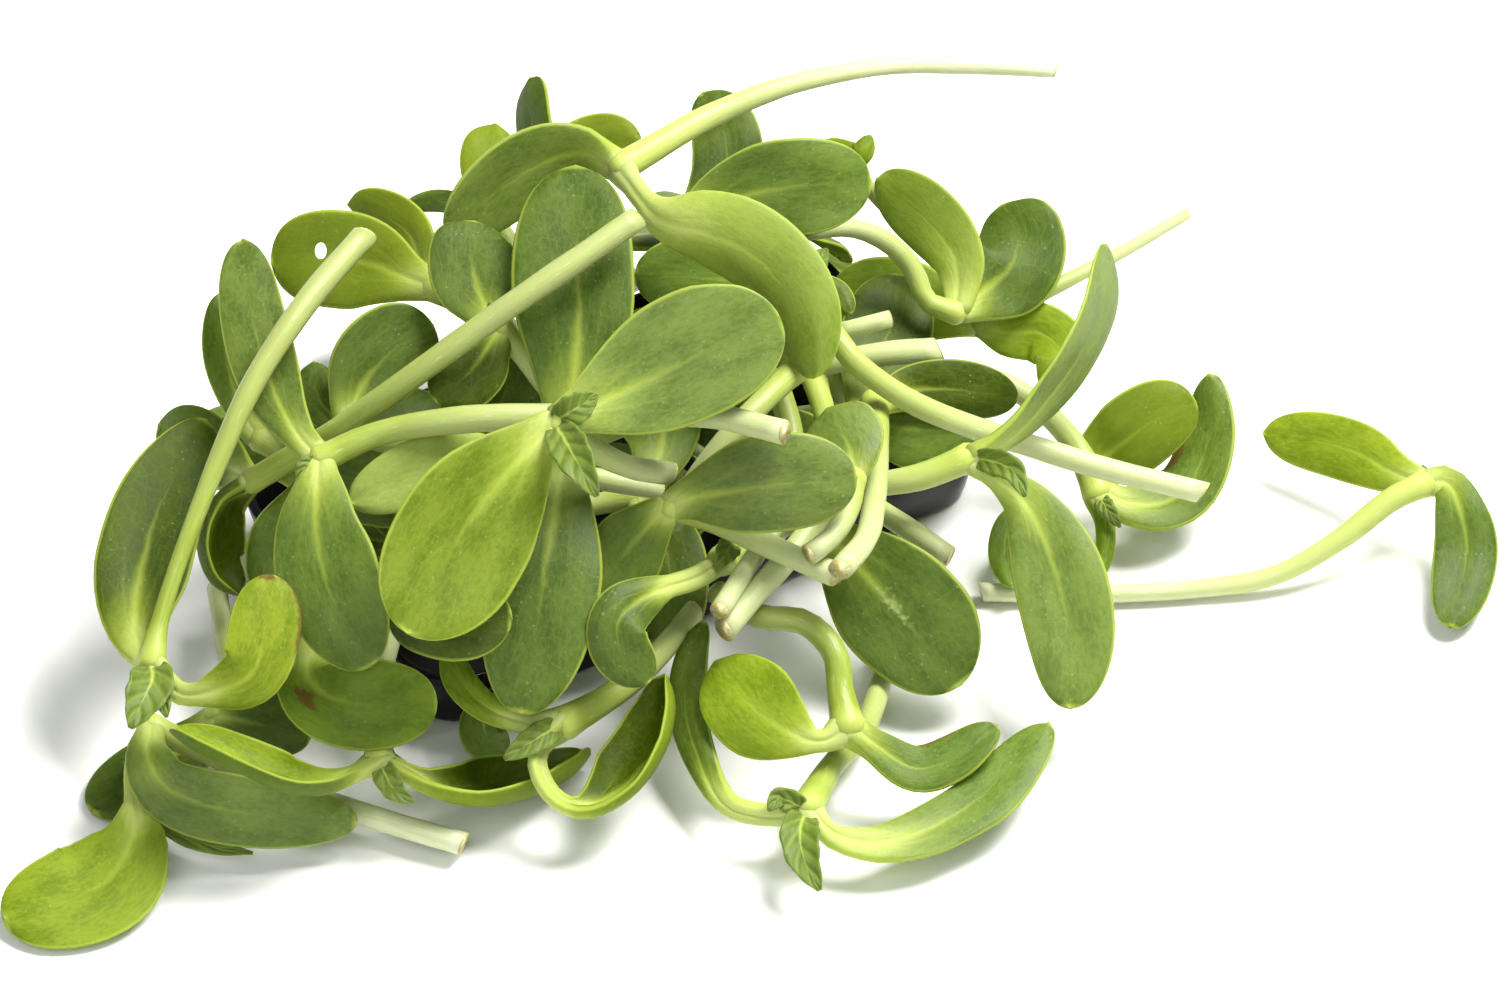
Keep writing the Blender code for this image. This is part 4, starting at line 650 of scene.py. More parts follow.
# What a user would change


def colour_setting(name, description, default):
    """A colour that a user can change."""
    return bpy.props.FloatVectorProperty(
        name=name, description=description, default=default, subtype="COLOR", min=0, max=1
    )


def length_setting(name, description, default, low, high):
    """A length, with its default and its limits in millimetres."""
    return bpy.props.FloatProperty(
        name=name, description=description, default=default * MM, min=low * MM, max=high * MM,
        unit="LENGTH", precision=5,
    )


class LeafSettings(bpy.types.PropertyGroup):
    """Sizes and colours of the seed leaves and buds."""

    thickness: length_setting("Thickness", "Thickness of a seed leaf along its middle", 0.95, 0.2, 3)
    stalk_width: length_setting("Stalk width", "Width of a leaf where it leaves the node", 2.9, 1, 6)
    groove: length_setting(
        "Midrib groove", "Depth of the groove along a leaf's upper side", 0.2, 0.0, 1
    )
    waviness: length_setting(
        "Waviness", "How far a leaf's surface swells and sinks", 0.4, 0.0, 2
    )
    margin_curl: length_setting("Margin curl", "How far a leaf's margins turn down", 0.7, 0.0, 3)
    bloom_tint: colour_setting(
        "Waxy leaf", "Colour of a leaf under its grey bloom", (0.118, 0.185, 0.016)
    )
    green_tint: colour_setting("Green leaf", "Colour of a common leaf", (0.094, 0.155, 0.007))
    # Partly painted shade: this colour also darkens leaves that lie in shade inside the heap or face away
    # from the light.
    dark_and_shaded_tint: colour_setting("Dark leaf", "Colour of a deep green leaf", (0.064, 0.108, 0.008))
    olive_tint: colour_setting(
        "Olive leaf", "Colour of a leaf that has yellowed a little", (0.19, 0.275, 0.010)
    )
    lime_tint: colour_setting(
        "Lime leaf", "Colour of a young yellow-green leaf", (0.29, 0.378, 0.016)
    )
    glow_tint: colour_setting(
        "Underside", "Colour of a leaf's underside with light through it", (0.185, 0.245, 0.006)
    )
    deep_tint: colour_setting(
        "Deep leaf", "Colour of the hollow side of a leaf in deep shade", (0.06, 0.085, 0.001)
    )
    murk_tint: colour_setting(
        "Murky leaf", "Colour of a leaf that hangs in the shade", (0.055, 0.085, 0.004)
    )
    pale_tint: colour_setting(
        "Pale leaf", "Colour of a leaf that grew in the dark", (0.42, 0.50, 0.12)
    )
    # Where this colour lines the margin, it is partly a painted highlight along a leaf's thin edge.
    vein_tint: colour_setting(
        "Veins", "Colour of the midrib, the margin and a leaf's base", (0.50, 0.60, 0.085)
    )
    bloom_dust: colour_setting("Bloom", "Colour of the waxy bloom", (0.25, 0.335, 0.075))
    through_light: colour_setting(
        "Light through", "Colour of light that has passed through a leaf", (0.46, 0.62, 0.02)
    )
    bud_tint: colour_setting("Bud", "Colour of the young true leaves", (0.135, 0.20, 0.012))
    scar_tint: colour_setting("Scars", "Colour of bruises and dried rims", (0.15, 0.07, 0.02))


class StemSettings(bpy.types.PropertyGroup):
    """Sizes and colours of the stems."""

    unevenness: bpy.props.FloatProperty(
        name="Unevenness", description="How much a stem's thickness varies along it",
        default=0.05, min=0.0, max=0.3, subtype="FACTOR",
    )
    cut_slant: bpy.props.FloatProperty(
        name="Cut slant", description="The most that a cut end slants",
        default=math.radians(22), min=0.0, max=math.radians(60), unit="ROTATION",
    )
    node_green: colour_setting(
        "Green, at the node", "Colour of a green stem where its leaves begin", (0.22, 0.285, 0.022)
    )
    foot_green: colour_setting(
        "Green, at the cut", "Colour of a green stem near its cut end", (0.30, 0.345, 0.095)
    )
    node_white: colour_setting(
        "White, at the node", "Colour of a white stem where its leaves begin", (0.40, 0.46, 0.11)
    )
    foot_white: colour_setting(
        "White, at the cut", "Colour of a white stem near its cut end", (0.58, 0.61, 0.40)
    )
    cut_tint: colour_setting(
        "Cut face", "Colour of the wet tissue on a cut end", (0.56, 0.56, 0.30)
    )
    cut_rim_tint: colour_setting(
        "Cut rim", "Colour where a cut end has begun to dry", (0.42, 0.33, 0.09)
    )


class TraySettings(bpy.types.PropertyGroup):
    """The tray's plastic."""

    tint: colour_setting("Plastic", "Colour of the tray", (0.006, 0.006, 0.007))
    scratch_tint: colour_setting(
        "Scuffs", "Colour of the fine scuffs on the tray", (0.025, 0.025, 0.028)
    )


class StageSettings(bpy.types.PropertyGroup):
    """The table, the lights and the camera."""

    table_tint: colour_setting("Table", "Colour of the table", (0.93, 0.93, 0.92))
    key_power: bpy.props.FloatProperty(
        name="Key light", description="Power of the large light over the back of the heap",
        default=29.0, min=0.0, unit="POWER",
    )
    fill_power: bpy.props.FloatProperty(
        name="Fill light", description="Power of the light from the front",
        default=6.0, min=0.0, unit="POWER",
    )
    sky_strength: bpy.props.FloatProperty(
        name="Room light", description="Strength of the even light from all round",
        default=0.27, min=0.0,
    )
    lens: bpy.props.FloatProperty(
        name="Lens", description="Focal length of the camera, in millimetres",
        default=900.0, min=50.0, unit="CAMERA",
    )
    picture_width: bpy.props.FloatProperty(
        name="Picture width", description="Width of what the camera takes in at the heap",
        default=189.9 * MM, min=0.01, unit="LENGTH", precision=4,
    )


# Curves


def spot(across, rise, height):
    """The place that is seen this far across and up, this high over the table."""
    away = (rise - height * math.cos(LEAN)) / math.sin(LEAN)
    return (RIGHT * across + AWAY * away + UP * height) * MM


def curve_through(points):
    """Places close together on a smooth curve through these, and how far along each is."""
    ends = [points[0] * 2 - points[1], *points, points[-1] * 2 - points[-2]]
    fine = []
    for a, b, c, d in zip(ends, ends[1:], ends[2:], ends[3:]):
        for step in range(CURVE_STEPS):
            t = step / CURVE_STEPS
            fine.append(
                (b * 2 + (c - a) * t + (a * 2 - b * 5 + c * 4 - d) * t**2
                 + (b * 3 - a - c * 3 + d) * t**3) / 2
            )
    fine.append(points[-1])
    far = [0.0]
    for a, b in zip(fine, fine[1:]):
        far.append(far[-1] + (b - a).length)
    return fine, far


def at_share(fine, far, share):
    """The place and the direction that share of the way along."""
    goal = share * far[-1]
    i = 1
    while i < len(far) - 1 and far[i] < goal:
        i += 1
    part = (goal - far[i - 1]) / max(far[i] - far[i - 1], 1e-12)
    place = fine[i - 1].lerp(fine[i], part)
    before, after = fine[max(i - 2, 0)], fine[min(i + 1, len(fine) - 1)]
    return place, (after - before).normalized()


def smooth(low, high, value):
    """0 below low, 1 above high, and an even slope between."""
    t = min(max((value - low) / (high - low), 0.0), 1.0)
    return t * t * (3 - 2 * t)


def facing(along, roll, tilt):
    """The directions across a leaf and out of its face."""
    side = along.cross(TO_EYE.lerp(UP, tilt)).normalized()
    face = side.cross(along)
    turn = math.radians(roll)
    return (
        side * math.cos(turn) + face * math.sin(turn),
        face * math.cos(turn) - side * math.sin(turn),
    )


# Surfaces


class Tissue:
    """One sprout's surfaces, with what its materials read at each point."""

    def __init__(self):
        self.shape = bmesh.new()
        layers = self.shape.verts.layers
        self.numbers = {name: layers.float.new(name) for name in NUMBERS}
        self.skin = layers.float_vector.new("skin")
        self.tint = layers.float_color.new("tint")

    def point(self, place, skin=(0.0, 0.0, 0.0), tint=(1.0, 1.0, 1.0), **numbers):
        """A point of the surface, in the object's box. skin is its place when flat, in mm."""
        made = self.shape.verts.new(
            min(max(value, low), high) for value, low, high in zip(place, *CAD_BOX)
        )
        made[self.skin] = skin
        made[self.tint] = (*tint, 1.0)
        for name, value in numbers.items():
            made[self.numbers[name]] = value
        return made

    def sleeve(self, rings, finish):
        """Faces between rings of equally many points, closed at both ends."""
        sides = len(rings[0])
        index = FINISHES.index(finish)
        faces = [rings[0][::-1], rings[-1]]
        for low, high in zip(rings, rings[1:]):
            for i in range(sides):
                j = (i + 1) % sides
                faces.append((low[i], low[j], high[j], high[i]))
        for corners in faces:
            face = self.shape.faces.new(corners)
            face.material_index = index
            face.smooth = True

    def piece(self, name, materials):
        """The finished object, with these materials in the order of FINISHES."""
        mesh = bpy.data.meshes.new(name)
        bmesh.ops.recalc_face_normals(self.shape, faces=self.shape.faces)
        self.shape.to_mesh(mesh)
        self.shape.free()
        for material in materials:
            mesh.materials.append(material)
        made = bpy.data.objects.new(name, mesh)
        bpy.context.scene.collection.objects.link(made)
        return made


def draw_stem(tissue, stem, pale, settings, chance):
    """A stem from its slanting cut end to its rounded node."""
    fine, far = curve_through([spot(*point[:3]) for point in stem])
    marks = [far[i * CURVE_STEPS] / far[-1] for i in range(len(stem))]
    rows = max(FEWEST_STEM_ROWS, round(far[-1] / MM / STEM_ROW))
    slant = math.tan(settings.cut_slant * chance.uniform(-1, 1))
    seed = Vector((chance.uniform(0, 50), 0, 0))
    rings, side, cut = [], None, None
    for row in range(rows + 1):
        share = row / rows
        place, along = at_share(fine, far, share)
        side = along.cross(TO_EYE) if side is None else side
        side = (side - along * side.dot(along)).normalized()
        over = side.cross(along)
        i = min(max(k for k in range(len(marks)) if marks[k] <= share + 1e-9), len(marks) - 2)
        part = (share - marks[i]) / (marks[i + 1] - marks[i])
        radius = (stem[i][3] * (1 - part) + stem[i + 1][3] * part) * MM
        radius *= 1 + settings.unevenness * noise.noise(seed + Vector((0, row * 0.35, 0)))
        if row == rows:
            radius *= NODE_SWELL
        ring = []
        for k in range(STEM_SIDES):
            angle = math.tau * k / STEM_SIDES
            shift = along * radius * math.cos(angle) * slant if row == 0 else Vector()
            swell = 1 + 0.04 * noise.noise(seed + Vector((math.cos(angle), math.sin(angle), row / 6)))
            out = side * math.cos(angle) + over * math.sin(angle)
            ring.append((place + shift + out * radius * swell, angle))
        length = share * far[-1] / MM
        if row == 0:
            cut = (ring, place, along)
        rings.append([
            tissue.point(
                where, (math.cos(angle) * 1.6, math.sin(angle) * 1.6, length * 0.12),
                along=share, pale=pale,
            )
            for where, angle in ring
        ])
    last, centre = rings[-1], place
    for out, back in NODE_CAP:
        rings.append([
            tissue.point(
                centre + (point.co - centre) * out + along * radius * back,
                along=1.0, pale=pale,
            )
            for point in last
        ])
    tissue.sleeve(rings, "stem")
    ring, place, along = cut
    faces = []
    for out, sink in CUT_FACE:
        faces.append([
            tissue.point(
                place + (where - place) * out - along * radius * (CUT_PROUD - sink),
                (math.cos(angle) * out, math.sin(angle) * out, 0.0), across=out,
            )
            for where, angle in ring
        ])
    tissue.sleeve(faces[::-1], "cut")


def blade_half(share, half, widest, stalk_half):
    """Half the width of a seed leaf that share of the way from its base to its tip."""
    if share < widest:
        return stalk_half + (half - stalk_half) * math.sin(math.pi / 2 * share / widest) ** 1.2
    fall = (share - widest) / (1 - widest)
    return max(half * math.sqrt(max(1 - fall**2.4, 0.0)), 0.02 * MM)


def plump(angle):
    """How far a leaf's skin stands off its middle round its edge: fuller than an ellipse."""
    return math.copysign(abs(math.sin(angle)) ** 0.6, math.sin(angle))


def scar_at(leaf, along, across):
    """How bruised or dried a leaf is there, up to 1, or how bleached, down to -1."""
    worst = 0.0
    for share, side, size, depth in leaf.scars:
        far = math.hypot((along - share) * 2.2, across - side)
        worst = max(worst, depth * (1 - smooth(size * 0.4, size, far)), key=abs)
    return worst


def draw_leaf(tissue, node, leaf, settings, chance):
    """A seed leaf: a grooved stalk that opens into a thick rounded blade."""
    look = LOOKS[leaf.look]
    shade = chance.uniform(0.9, 1.1)
    warm = chance.uniform(0.93, 1.07)
    cast = Vector((shade * warm, shade, shade / warm))
    front_tint = Vector(getattr(settings, look.tint)) * cast
    back_tint = Vector(getattr(settings, look.back or look.tint)) * cast
    bloom = look.bloom * chance.uniform(0.8, 1.15)
    curl = settings.margin_curl * chance.uniform(0.2, 1.2)
    lean = chance.uniform(-0.05, 0.05)
    seed = Vector((chance.uniform(0, 90), chance.uniform(0, 90), 0))
    fine, far = curve_through([spot(*node[:3])] + [spot(*point) for point in leaf.path])
    fold = math.radians(leaf.fold)
    half_width = leaf.width / 2 * MM
    clasp = max(node[3] * MM - settings.stalk_width / 2, 0.0)
    rows = LEAF_ROWS + round(leaf.stalk * LEAF_STALK_ROWS)
    rings = []
    for row in range(rows + 1):
        share = 1 - (1 - row / rows) ** 1.5
        place, along = at_share(fine, far, share)
        side, face = facing(along, leaf.roll, leaf.tilt)
        blade = max(share - leaf.stalk, 0.0) / (1 - leaf.stalk)
        half = blade_half(blade, half_width, leaf.widest, settings.stalk_width / 2)
        open_blade = smooth(0.0, 0.4, blade)
        stalk = STALK_HALF_THICK * MM
        thick = stalk + (settings.thickness / 2 - stalk) * open_blade
        thick *= math.sqrt(max(1 - smooth(0.75, 1.0, blade) ** 2 * 0.9, 0.02))
        grip = 1 - smooth(0.0, NODE_REACH * MM, share * far[-1])
        half += clasp * grip
        thick += clasp * grip
        groove = settings.groove * (1.2 - blade) * (0.4 + 0.6 * smooth(0.0, 0.15, share))
        ring = []
        for k in range(LEAF_SIDES):
            angle = math.tau * k / LEAF_SIDES
            across = math.cos(angle)
            skin = plump(angle) * thick
            dip = math.exp(-((across / 0.16) ** 2)) * groove
            skin -= dip if skin > 0 else dip * 0.7
            edge = noise.noise(seed + Vector((math.copysign(9, across), blade * 2.2, 4.0)))
            wide = half * (1 + (lean * math.copysign(1, across) + 0.08 * edge) * open_blade)
            bend = fold * across
            out = wide * math.sin(bend) / fold if fold else wide * across
            rise = wide * (1 - math.cos(bend)) / fold if fold else 0.0
            rise -= curl * abs(across) ** 2.6 * open_blade
            ripple = noise.noise(seed + Vector((across * 1.1, share * 2.6, 0.0)))
            rise += settings.waviness * ripple * open_blade
            up = face * math.cos(bend) - side * math.sin(bend)
            under = skin < 0
            ring.append(tissue.point(
                place + side * out + face * rise + up * skin,
                (across * half / MM, share * far[-1] / MM, 4.0 * under),
                back_tint if under else front_tint,
                along=blade if blade > 0 else share / max(leaf.stalk, 1e-6) - 1,
                across=across,
                under=1.0 if under != look.turned else 0.0,
                base=1 - smooth(0.02, 0.42 * look.reach, blade + 0.16 * abs(across)),
                bloom=bloom,
                scar=scar_at(leaf, share, across),
            ))
        rings.append(ring)
    tissue.sleeve(rings, "leaf")


def draw_bud(tissue, node, bud, settings):
    """A young true leaf: pointed, keeled and a little toothed."""
    fine, far = curve_through([spot(*node[:3])] + [spot(*point) for point in bud.path])
    fold = math.radians(BUD_FOLD)
    rings = []
    for row in range(BUD_ROWS + 1):
        share = row / BUD_ROWS
        place, along = at_share(fine, far, share)
        side, face = facing(along, bud.roll, 0.0)
        wide = 0.35 + 0.65 * math.sin(math.pi / 2 * min(share / 0.5, 1.0))
        wide *= math.sqrt(max(1 - smooth(0.45, 1.04, share) ** 1.3, 0.0))
        half = bud.width / 2 * MM * max(wide, 0.03)
        tooth = 1 + 0.05 * math.sin(share * 30) * smooth(0.15, 0.4, share)
        ring = []
        for k in range(BUD_SIDES):
            angle = math.tau * k / BUD_SIDES
            across = math.cos(angle)
            bend = fold * across
            out = half * math.sin(bend) / fold * (tooth if abs(across) > 0.9 else 1.0)
            rise = half * (1 - math.cos(bend)) / fold
            skin = plump(angle) * BUD_HALF_THICK * MM
            skin *= 0.25 + 0.75 * wide
            up = face * math.cos(bend) - side * math.sin(bend)
            ring.append(tissue.point(
                place + side * out * 1.15 + face * rise + up * skin,
                (across * half / MM, share * far[-1] / MM, 0.0),
                settings.bud_tint,
                along=share,
                across=across,
                under=1.0 if skin < 0 else 0.0,
                bloom=0.2,
            ))
        rings.append(ring)
    tissue.sleeve(rings, "bud")


def match_skin(whole, pierced):
    """Gives each point round a hole what its nearest point carried before."""
    tree = KDTree(len(whole.vertices))
    for i, point in enumerate(whole.vertices):
        tree.insert(point.co, i)
    tree.balance()
    nearest = [tree.find(point.co)[1] for point in pierced.vertices]
    for name in (*NUMBERS, "skin", "tint"):
        field = {"skin": "vector", "tint": "color"}.get(name, "value")
        before, after = whole.attributes[name].data, pierced.attributes[name].data
        for i, source in enumerate(nearest):
            setattr(after[i], field, getattr(before[source], field))
    pierced.set_sharp_from_angle(angle=SHARP)


def pierce(piece, place, long, wide):
    """Cuts an uneven hole through a leaf towards the eye."""
    cutter = bmesh.new()
    turn = TO_EYE.to_track_quat("Z", "Y").to_matrix().to_4x4()
    bmesh.ops.create_cone(
        cutter, cap_ends=True, segments=HOLE_SIDES, radius1=1.0, radius2=1.0,
        depth=HOLE_DEPTH * MM,
        matrix=Matrix.Translation(place) @ turn @ Matrix.Diagonal((wide / 2, long / 2, 1.0, 1.0)),
    )
    for point in cutter.verts:
        aside = (point.co - place).cross(TO_EYE).normalized()
        point.co += aside * wide * 0.12 * noise.noise(point.co / MM)
    mesh = bpy.data.meshes.new("hole")
    cutter.to_mesh(mesh)
    cutter.free()
    tool = bpy.data.objects.new("hole", mesh)
    bpy.context.scene.collection.objects.link(tool)
    cut = piece.modifiers.new("hole", "BOOLEAN")
    cut.operation = "DIFFERENCE"
    cut.solver = "MANIFOLD"
    cut.object = tool
    bpy.context.view_layer.update()
    graph = bpy.context.evaluated_depsgraph_get()
    pierced = bpy.data.meshes.new_from_object(piece.evaluated_get(graph))
    piece.modifiers.clear()
    match_skin(piece.data, pierced)
    piece.data = pierced
    bpy.data.objects.remove(tool)


# Materials

# Tints that the colours above are mixed with. A shade multiplies what it darkens.
LEAF_SHADE = (0.55, 0.64, 0.42)
LEAF_UNDERSIDE = (0.26, 0.33, 0.08)
LEAF_BASE = (0.62, 0.69, 0.22)
LEAF_STALK = (0.55, 0.62, 0.22)
LEAF_PALE_DOTS = (0.5, 0.6, 0.3)
LEAF_DARK_DOTS = (0.05, 0.06, 0.015)
BLEACHED = (0.38, 0.48, 0.18)
STEM_NODE = (0.44, 0.52, 0.1)
STEM_STREAKS = (0.36, 0.45, 0.12)
STEM_DOTS = (0.7, 0.74, 0.5)
CUT_PITH = (0.78, 0.80, 0.52)
BUD_SHADE = (0.6, 0.66, 0.55)
BUD_UNDERSIDE = (0.42, 0.52, 0.16)
BUD_HAIRS = (0.58, 0.68, 0.32)
# How bright the table's grain is, as a share of its colour.
TABLE_GRAIN = 0.985
# How far along a blade its midrib fades out, and a bud's, which runs past its tip.
LEAF_VEIN_REACH, BUD_VEIN_REACH = 0.85, 1.3
# The share of the light that passes through a leaf, and through a bud.
LEAF_THROUGH, BUD_THROUGH = 0.34, 0.22


def opaque(colour):
    """What a colour socket takes: a link stays as it is, and a colour gets full alpha."""
    return colour if isinstance(colour, bpy.types.NodeSocket) else (*colour, 1.0)


class Wiring:
    """Adds shader nodes to one tree and joins them up, left to right."""

    def __init__(self, tree):
        self.tree = tree
        self.count = 0

    def join(self, node, key, value):
        """Links the value to that input if it is another node's output, and sets it if not."""
        if isinstance(value, bpy.types.NodeSocket):
            self.tree.links.new(value, node.inputs[key])
        else:
            node.inputs[key].default_value = value

    def add(self, kind, values=None, **settings):
        """A node with these inputs and settings."""
        node = self.tree.nodes.new(kind)
        node.location = (240 * (self.count % 12), -260 * (self.count // 12))
        self.count += 1
        for name, value in settings.items():
            setattr(node, name, value)
        for key, value in (values or {}).items():
            self.join(node, key, value)
        return node

    def math(self, operation, *values):
        node = self.add("ShaderNodeMath", dict(enumerate(values)), operation=operation)
        return node.outputs[0]

    def times(self, first, second):
        return self.math("MULTIPLY", first, second)

    def plus(self, first, second):
        return self.math("ADD", first, second)

    def minus(self, first, second):
        return self.math("SUBTRACT", first, second)

    def larger(self, first, second):
        return self.math("MAXIMUM", first, second)

    def size(self, value):
        """The value without its sign."""
        return self.math("ABSOLUTE", value)

    def fade(self, value, low, high, start=0.0, end=1.0):
        """start below low, end above high, and an even slope between."""
        node = self.add(
            "ShaderNodeMapRange",
            {"Value": value, "From Min": low, "From Max": high, "To Min": start, "To Max": end},
            interpolation_type="SMOOTHSTEP",
        )
        return node.outputs["Result"]

    def mix(self, share, first, second, blend_type="MIX"):
        """The first colour with that share of the second."""
        node = self.add(
            "ShaderNodeMix", {0: share, 6: opaque(first), 7: opaque(second)},
            data_type="RGBA", blend_type=blend_type,
        )
        return node.outputs[2]

    def read(self, name, output="Fac"):
        """What the surface carries at each point under that name."""
        node = self.add("ShaderNodeAttribute", attribute_name=name, attribute_type="GEOMETRY")
        return node.outputs[output]

    def noise(self, place, scale, detail=2.0, roughness=0.5):
        node = self.add(
            "ShaderNodeTexNoise",
            {"Vector": place, "Scale": scale, "Detail": detail, "Roughness": roughness},
        )
        return node.outputs["Fac"]

    def effect(self, group, **values):
        """The outputs of a shared effect, with this material's own values."""
        node = self.add("ShaderNodeGroup", node_tree=group)
        for name, value in values.items():
            self.join(node, name.capitalize(), value)
        return node.outputs

    def mottle(self, place, coarse, fine):
        group = once("node_groups", "mottle", mottle_group)
        return self.effect(group, place=place, coarse=coarse, fine=fine)["Value"]

    def freckles(self, place, scale, amount):
        group = once("node_groups", "freckles", freckle_group)
        return self.effect(group, place=place, scale=scale, amount=amount)["Mask"]

    def veins(self, along, across, skin, reach):
        group = once("node_groups", "leaf veins", vein_group)
        return self.effect(group, along=along, across=across, skin=skin, reach=reach)

    def bump(self, height, strength, distance):
        """Normals that follow the height, over that many millimetres."""
        values = {"Height": height, "Strength": strength, "Distance": distance * MM}
        return self.add("ShaderNodeBump", values).outputs[0]

    def finish(self, surface):
        self.add("ShaderNodeOutputMaterial", {"Surface": surface.outputs[0]})


def once(kind, name, make, *settings):
    """The material or node group of that name, made the first time that it is asked for."""
    return getattr(bpy.data, kind).get(name) or make(name, *settings)


def effect_group(name, inputs, outputs):
    """An empty node group with these sockets, the wiring to fill it, and what it is given."""
    tree = bpy.data.node_groups.new(name, "ShaderNodeTree")
    for socket, default in inputs.items():
        kind = "NodeSocketVector" if default is None else "NodeSocketFloat"
        made = tree.interface.new_socket(socket, in_out="INPUT", socket_type=kind)
        if default is not None:
            made.default_value = default
    for socket in outputs:
        tree.interface.new_socket(socket, in_out="OUTPUT", socket_type="NodeSocketFloat")
    wiring = Wiring(tree)
    return tree, wiring, wiring.add("NodeGroupInput").outputs


def freckle_group(name):
    """Small round freckles of uneven size, as a mask."""
    tree, wiring, given = effect_group(
        name, {"Place": None, "Scale": 1.0, "Amount": 0.5}, ("Mask",)
    )
    cells = wiring.add(
        "ShaderNodeTexVoronoi", {"Vector": given["Place"], "Scale": given["Scale"], "Randomness": 1.0}
    )
    size = wiring.times(cells.outputs["Color"], given["Amount"])
    inside = wiring.minus(size, cells.outputs["Distance"])
    mask = wiring.fade(inside, 0.0, 0.12)
    wiring.add("NodeGroupOutput", {"Mask": mask})
    return tree


def vein_group(name):
    """The midrib and two side veins of a leaf, and the fine net between, as masks."""
    tree, wiring, given = effect_group(
        name,
        {"Along": 0.0, "Across": 0.0, "Skin": None, "Reach": LEAF_VEIN_REACH},
        ("Main", "Net", "Height"),
    )
    along, across, skin = given["Along"], given["Across"], given["Skin"]
    wobble = wiring.times(wiring.minus(wiring.noise(skin, 0.3), 0.5), 0.13)
    off = wiring.size(wiring.plus(across, wobble))
    spread = wiring.fade(along, 0.05, 0.75, 0.3, 0.045)
    near = wiring.math("DIVIDE", off, spread)
    midrib = wiring.math("POWER", 0.5, wiring.times(wiring.times(near, near), 6.0))
    fading = wiring.fade(along, 0.15, given["Reach"], 1.0, 0.0)
    bow = wiring.math("SINE", wiring.times(along, 2.9))
    gap = wiring.size(wiring.minus(off, wiring.times(bow, 0.42)))
    side = wiring.larger(wiring.minus(1.0, wiring.math("DIVIDE", gap, 0.07)), 0.0)
    side = wiring.times(side, wiring.fade(along, 0.12, 0.7, 0.25, 0.0))
    main = wiring.times(wiring.larger(midrib, side), fading)
    cells = wiring.add(
        "ShaderNodeTexVoronoi", {"Vector": skin, "Scale": 0.6, "Randomness": 1.0},
        feature="DISTANCE_TO_EDGE",
    )
    net = wiring.fade(cells.outputs["Distance"], 0.0, 0.09, 1.0, 0.0)
    height = wiring.plus(wiring.times(main, -0.5), wiring.times(net, -0.04))
    wiring.add("NodeGroupOutput", {"Main": main, "Net": net, "Height": height})
    return tree


def mottle_group(name):
    """Soft uneven patches at two sizes, from 0 to 1 about a half."""
    tree, wiring, given = effect_group(
        name, {"Place": None, "Coarse": 0.2, "Fine": 2.0}, ("Value",)
    )
    broad = wiring.noise(given["Place"], given["Coarse"], 3.0)
    small = wiring.noise(given["Place"], given["Fine"], 4.0, 0.6)
    both = wiring.plus(wiring.times(broad, 0.6), wiring.times(small, 0.4))
    wiring.add("NodeGroupOutput", {"Value": both})
    return tree


def new_material(name):
    """A material with an empty tree, and the wiring to fill it."""
    made = bpy.data.materials.new(name)
    made.use_nodes = True
    made.node_tree.nodes.clear()
    return made, Wiring(made.node_tree)


def weathered(wiring, settings, colour, along, across, scar, skin):
    """The colour with a leaf's bruises and dried rims, and with its bleached streaks."""
    shreds = wiring.minus(wiring.noise(skin, 1.4, 4.0), 0.5)
    ragged = wiring.plus(scar, wiring.times(shreds, 1.1))
    bruise = wiring.times(wiring.fade(ragged, 0.42, 0.62), wiring.fade(scar, 0.0, 0.15))
    side_edge = wiring.plus(wiring.size(across), wiring.times(shreds, 0.2))
    tip_edge = wiring.plus(along, wiring.times(shreds, 0.08))
    crisp = wiring.larger(wiring.fade(side_edge, 0.88, 0.95), wiring.fade(tip_edge, 0.95, 0.98))
    dried = wiring.times(wiring.fade(scar, 0.02, 0.15), crisp)
    bruise = wiring.larger(bruise, dried)
    colour = wiring.mix(wiring.times(bruise, 0.85), colour, settings.scar_tint)
    dry = wiring.minus(wiring.times(shreds, 2.8), scar)
    bleached = wiring.times(wiring.fade(dry, 0.5, 1.4), wiring.fade(scar, -0.3, 0.0, 0.8, 0.0))
    return wiring.mix(bleached, colour, BLEACHED)


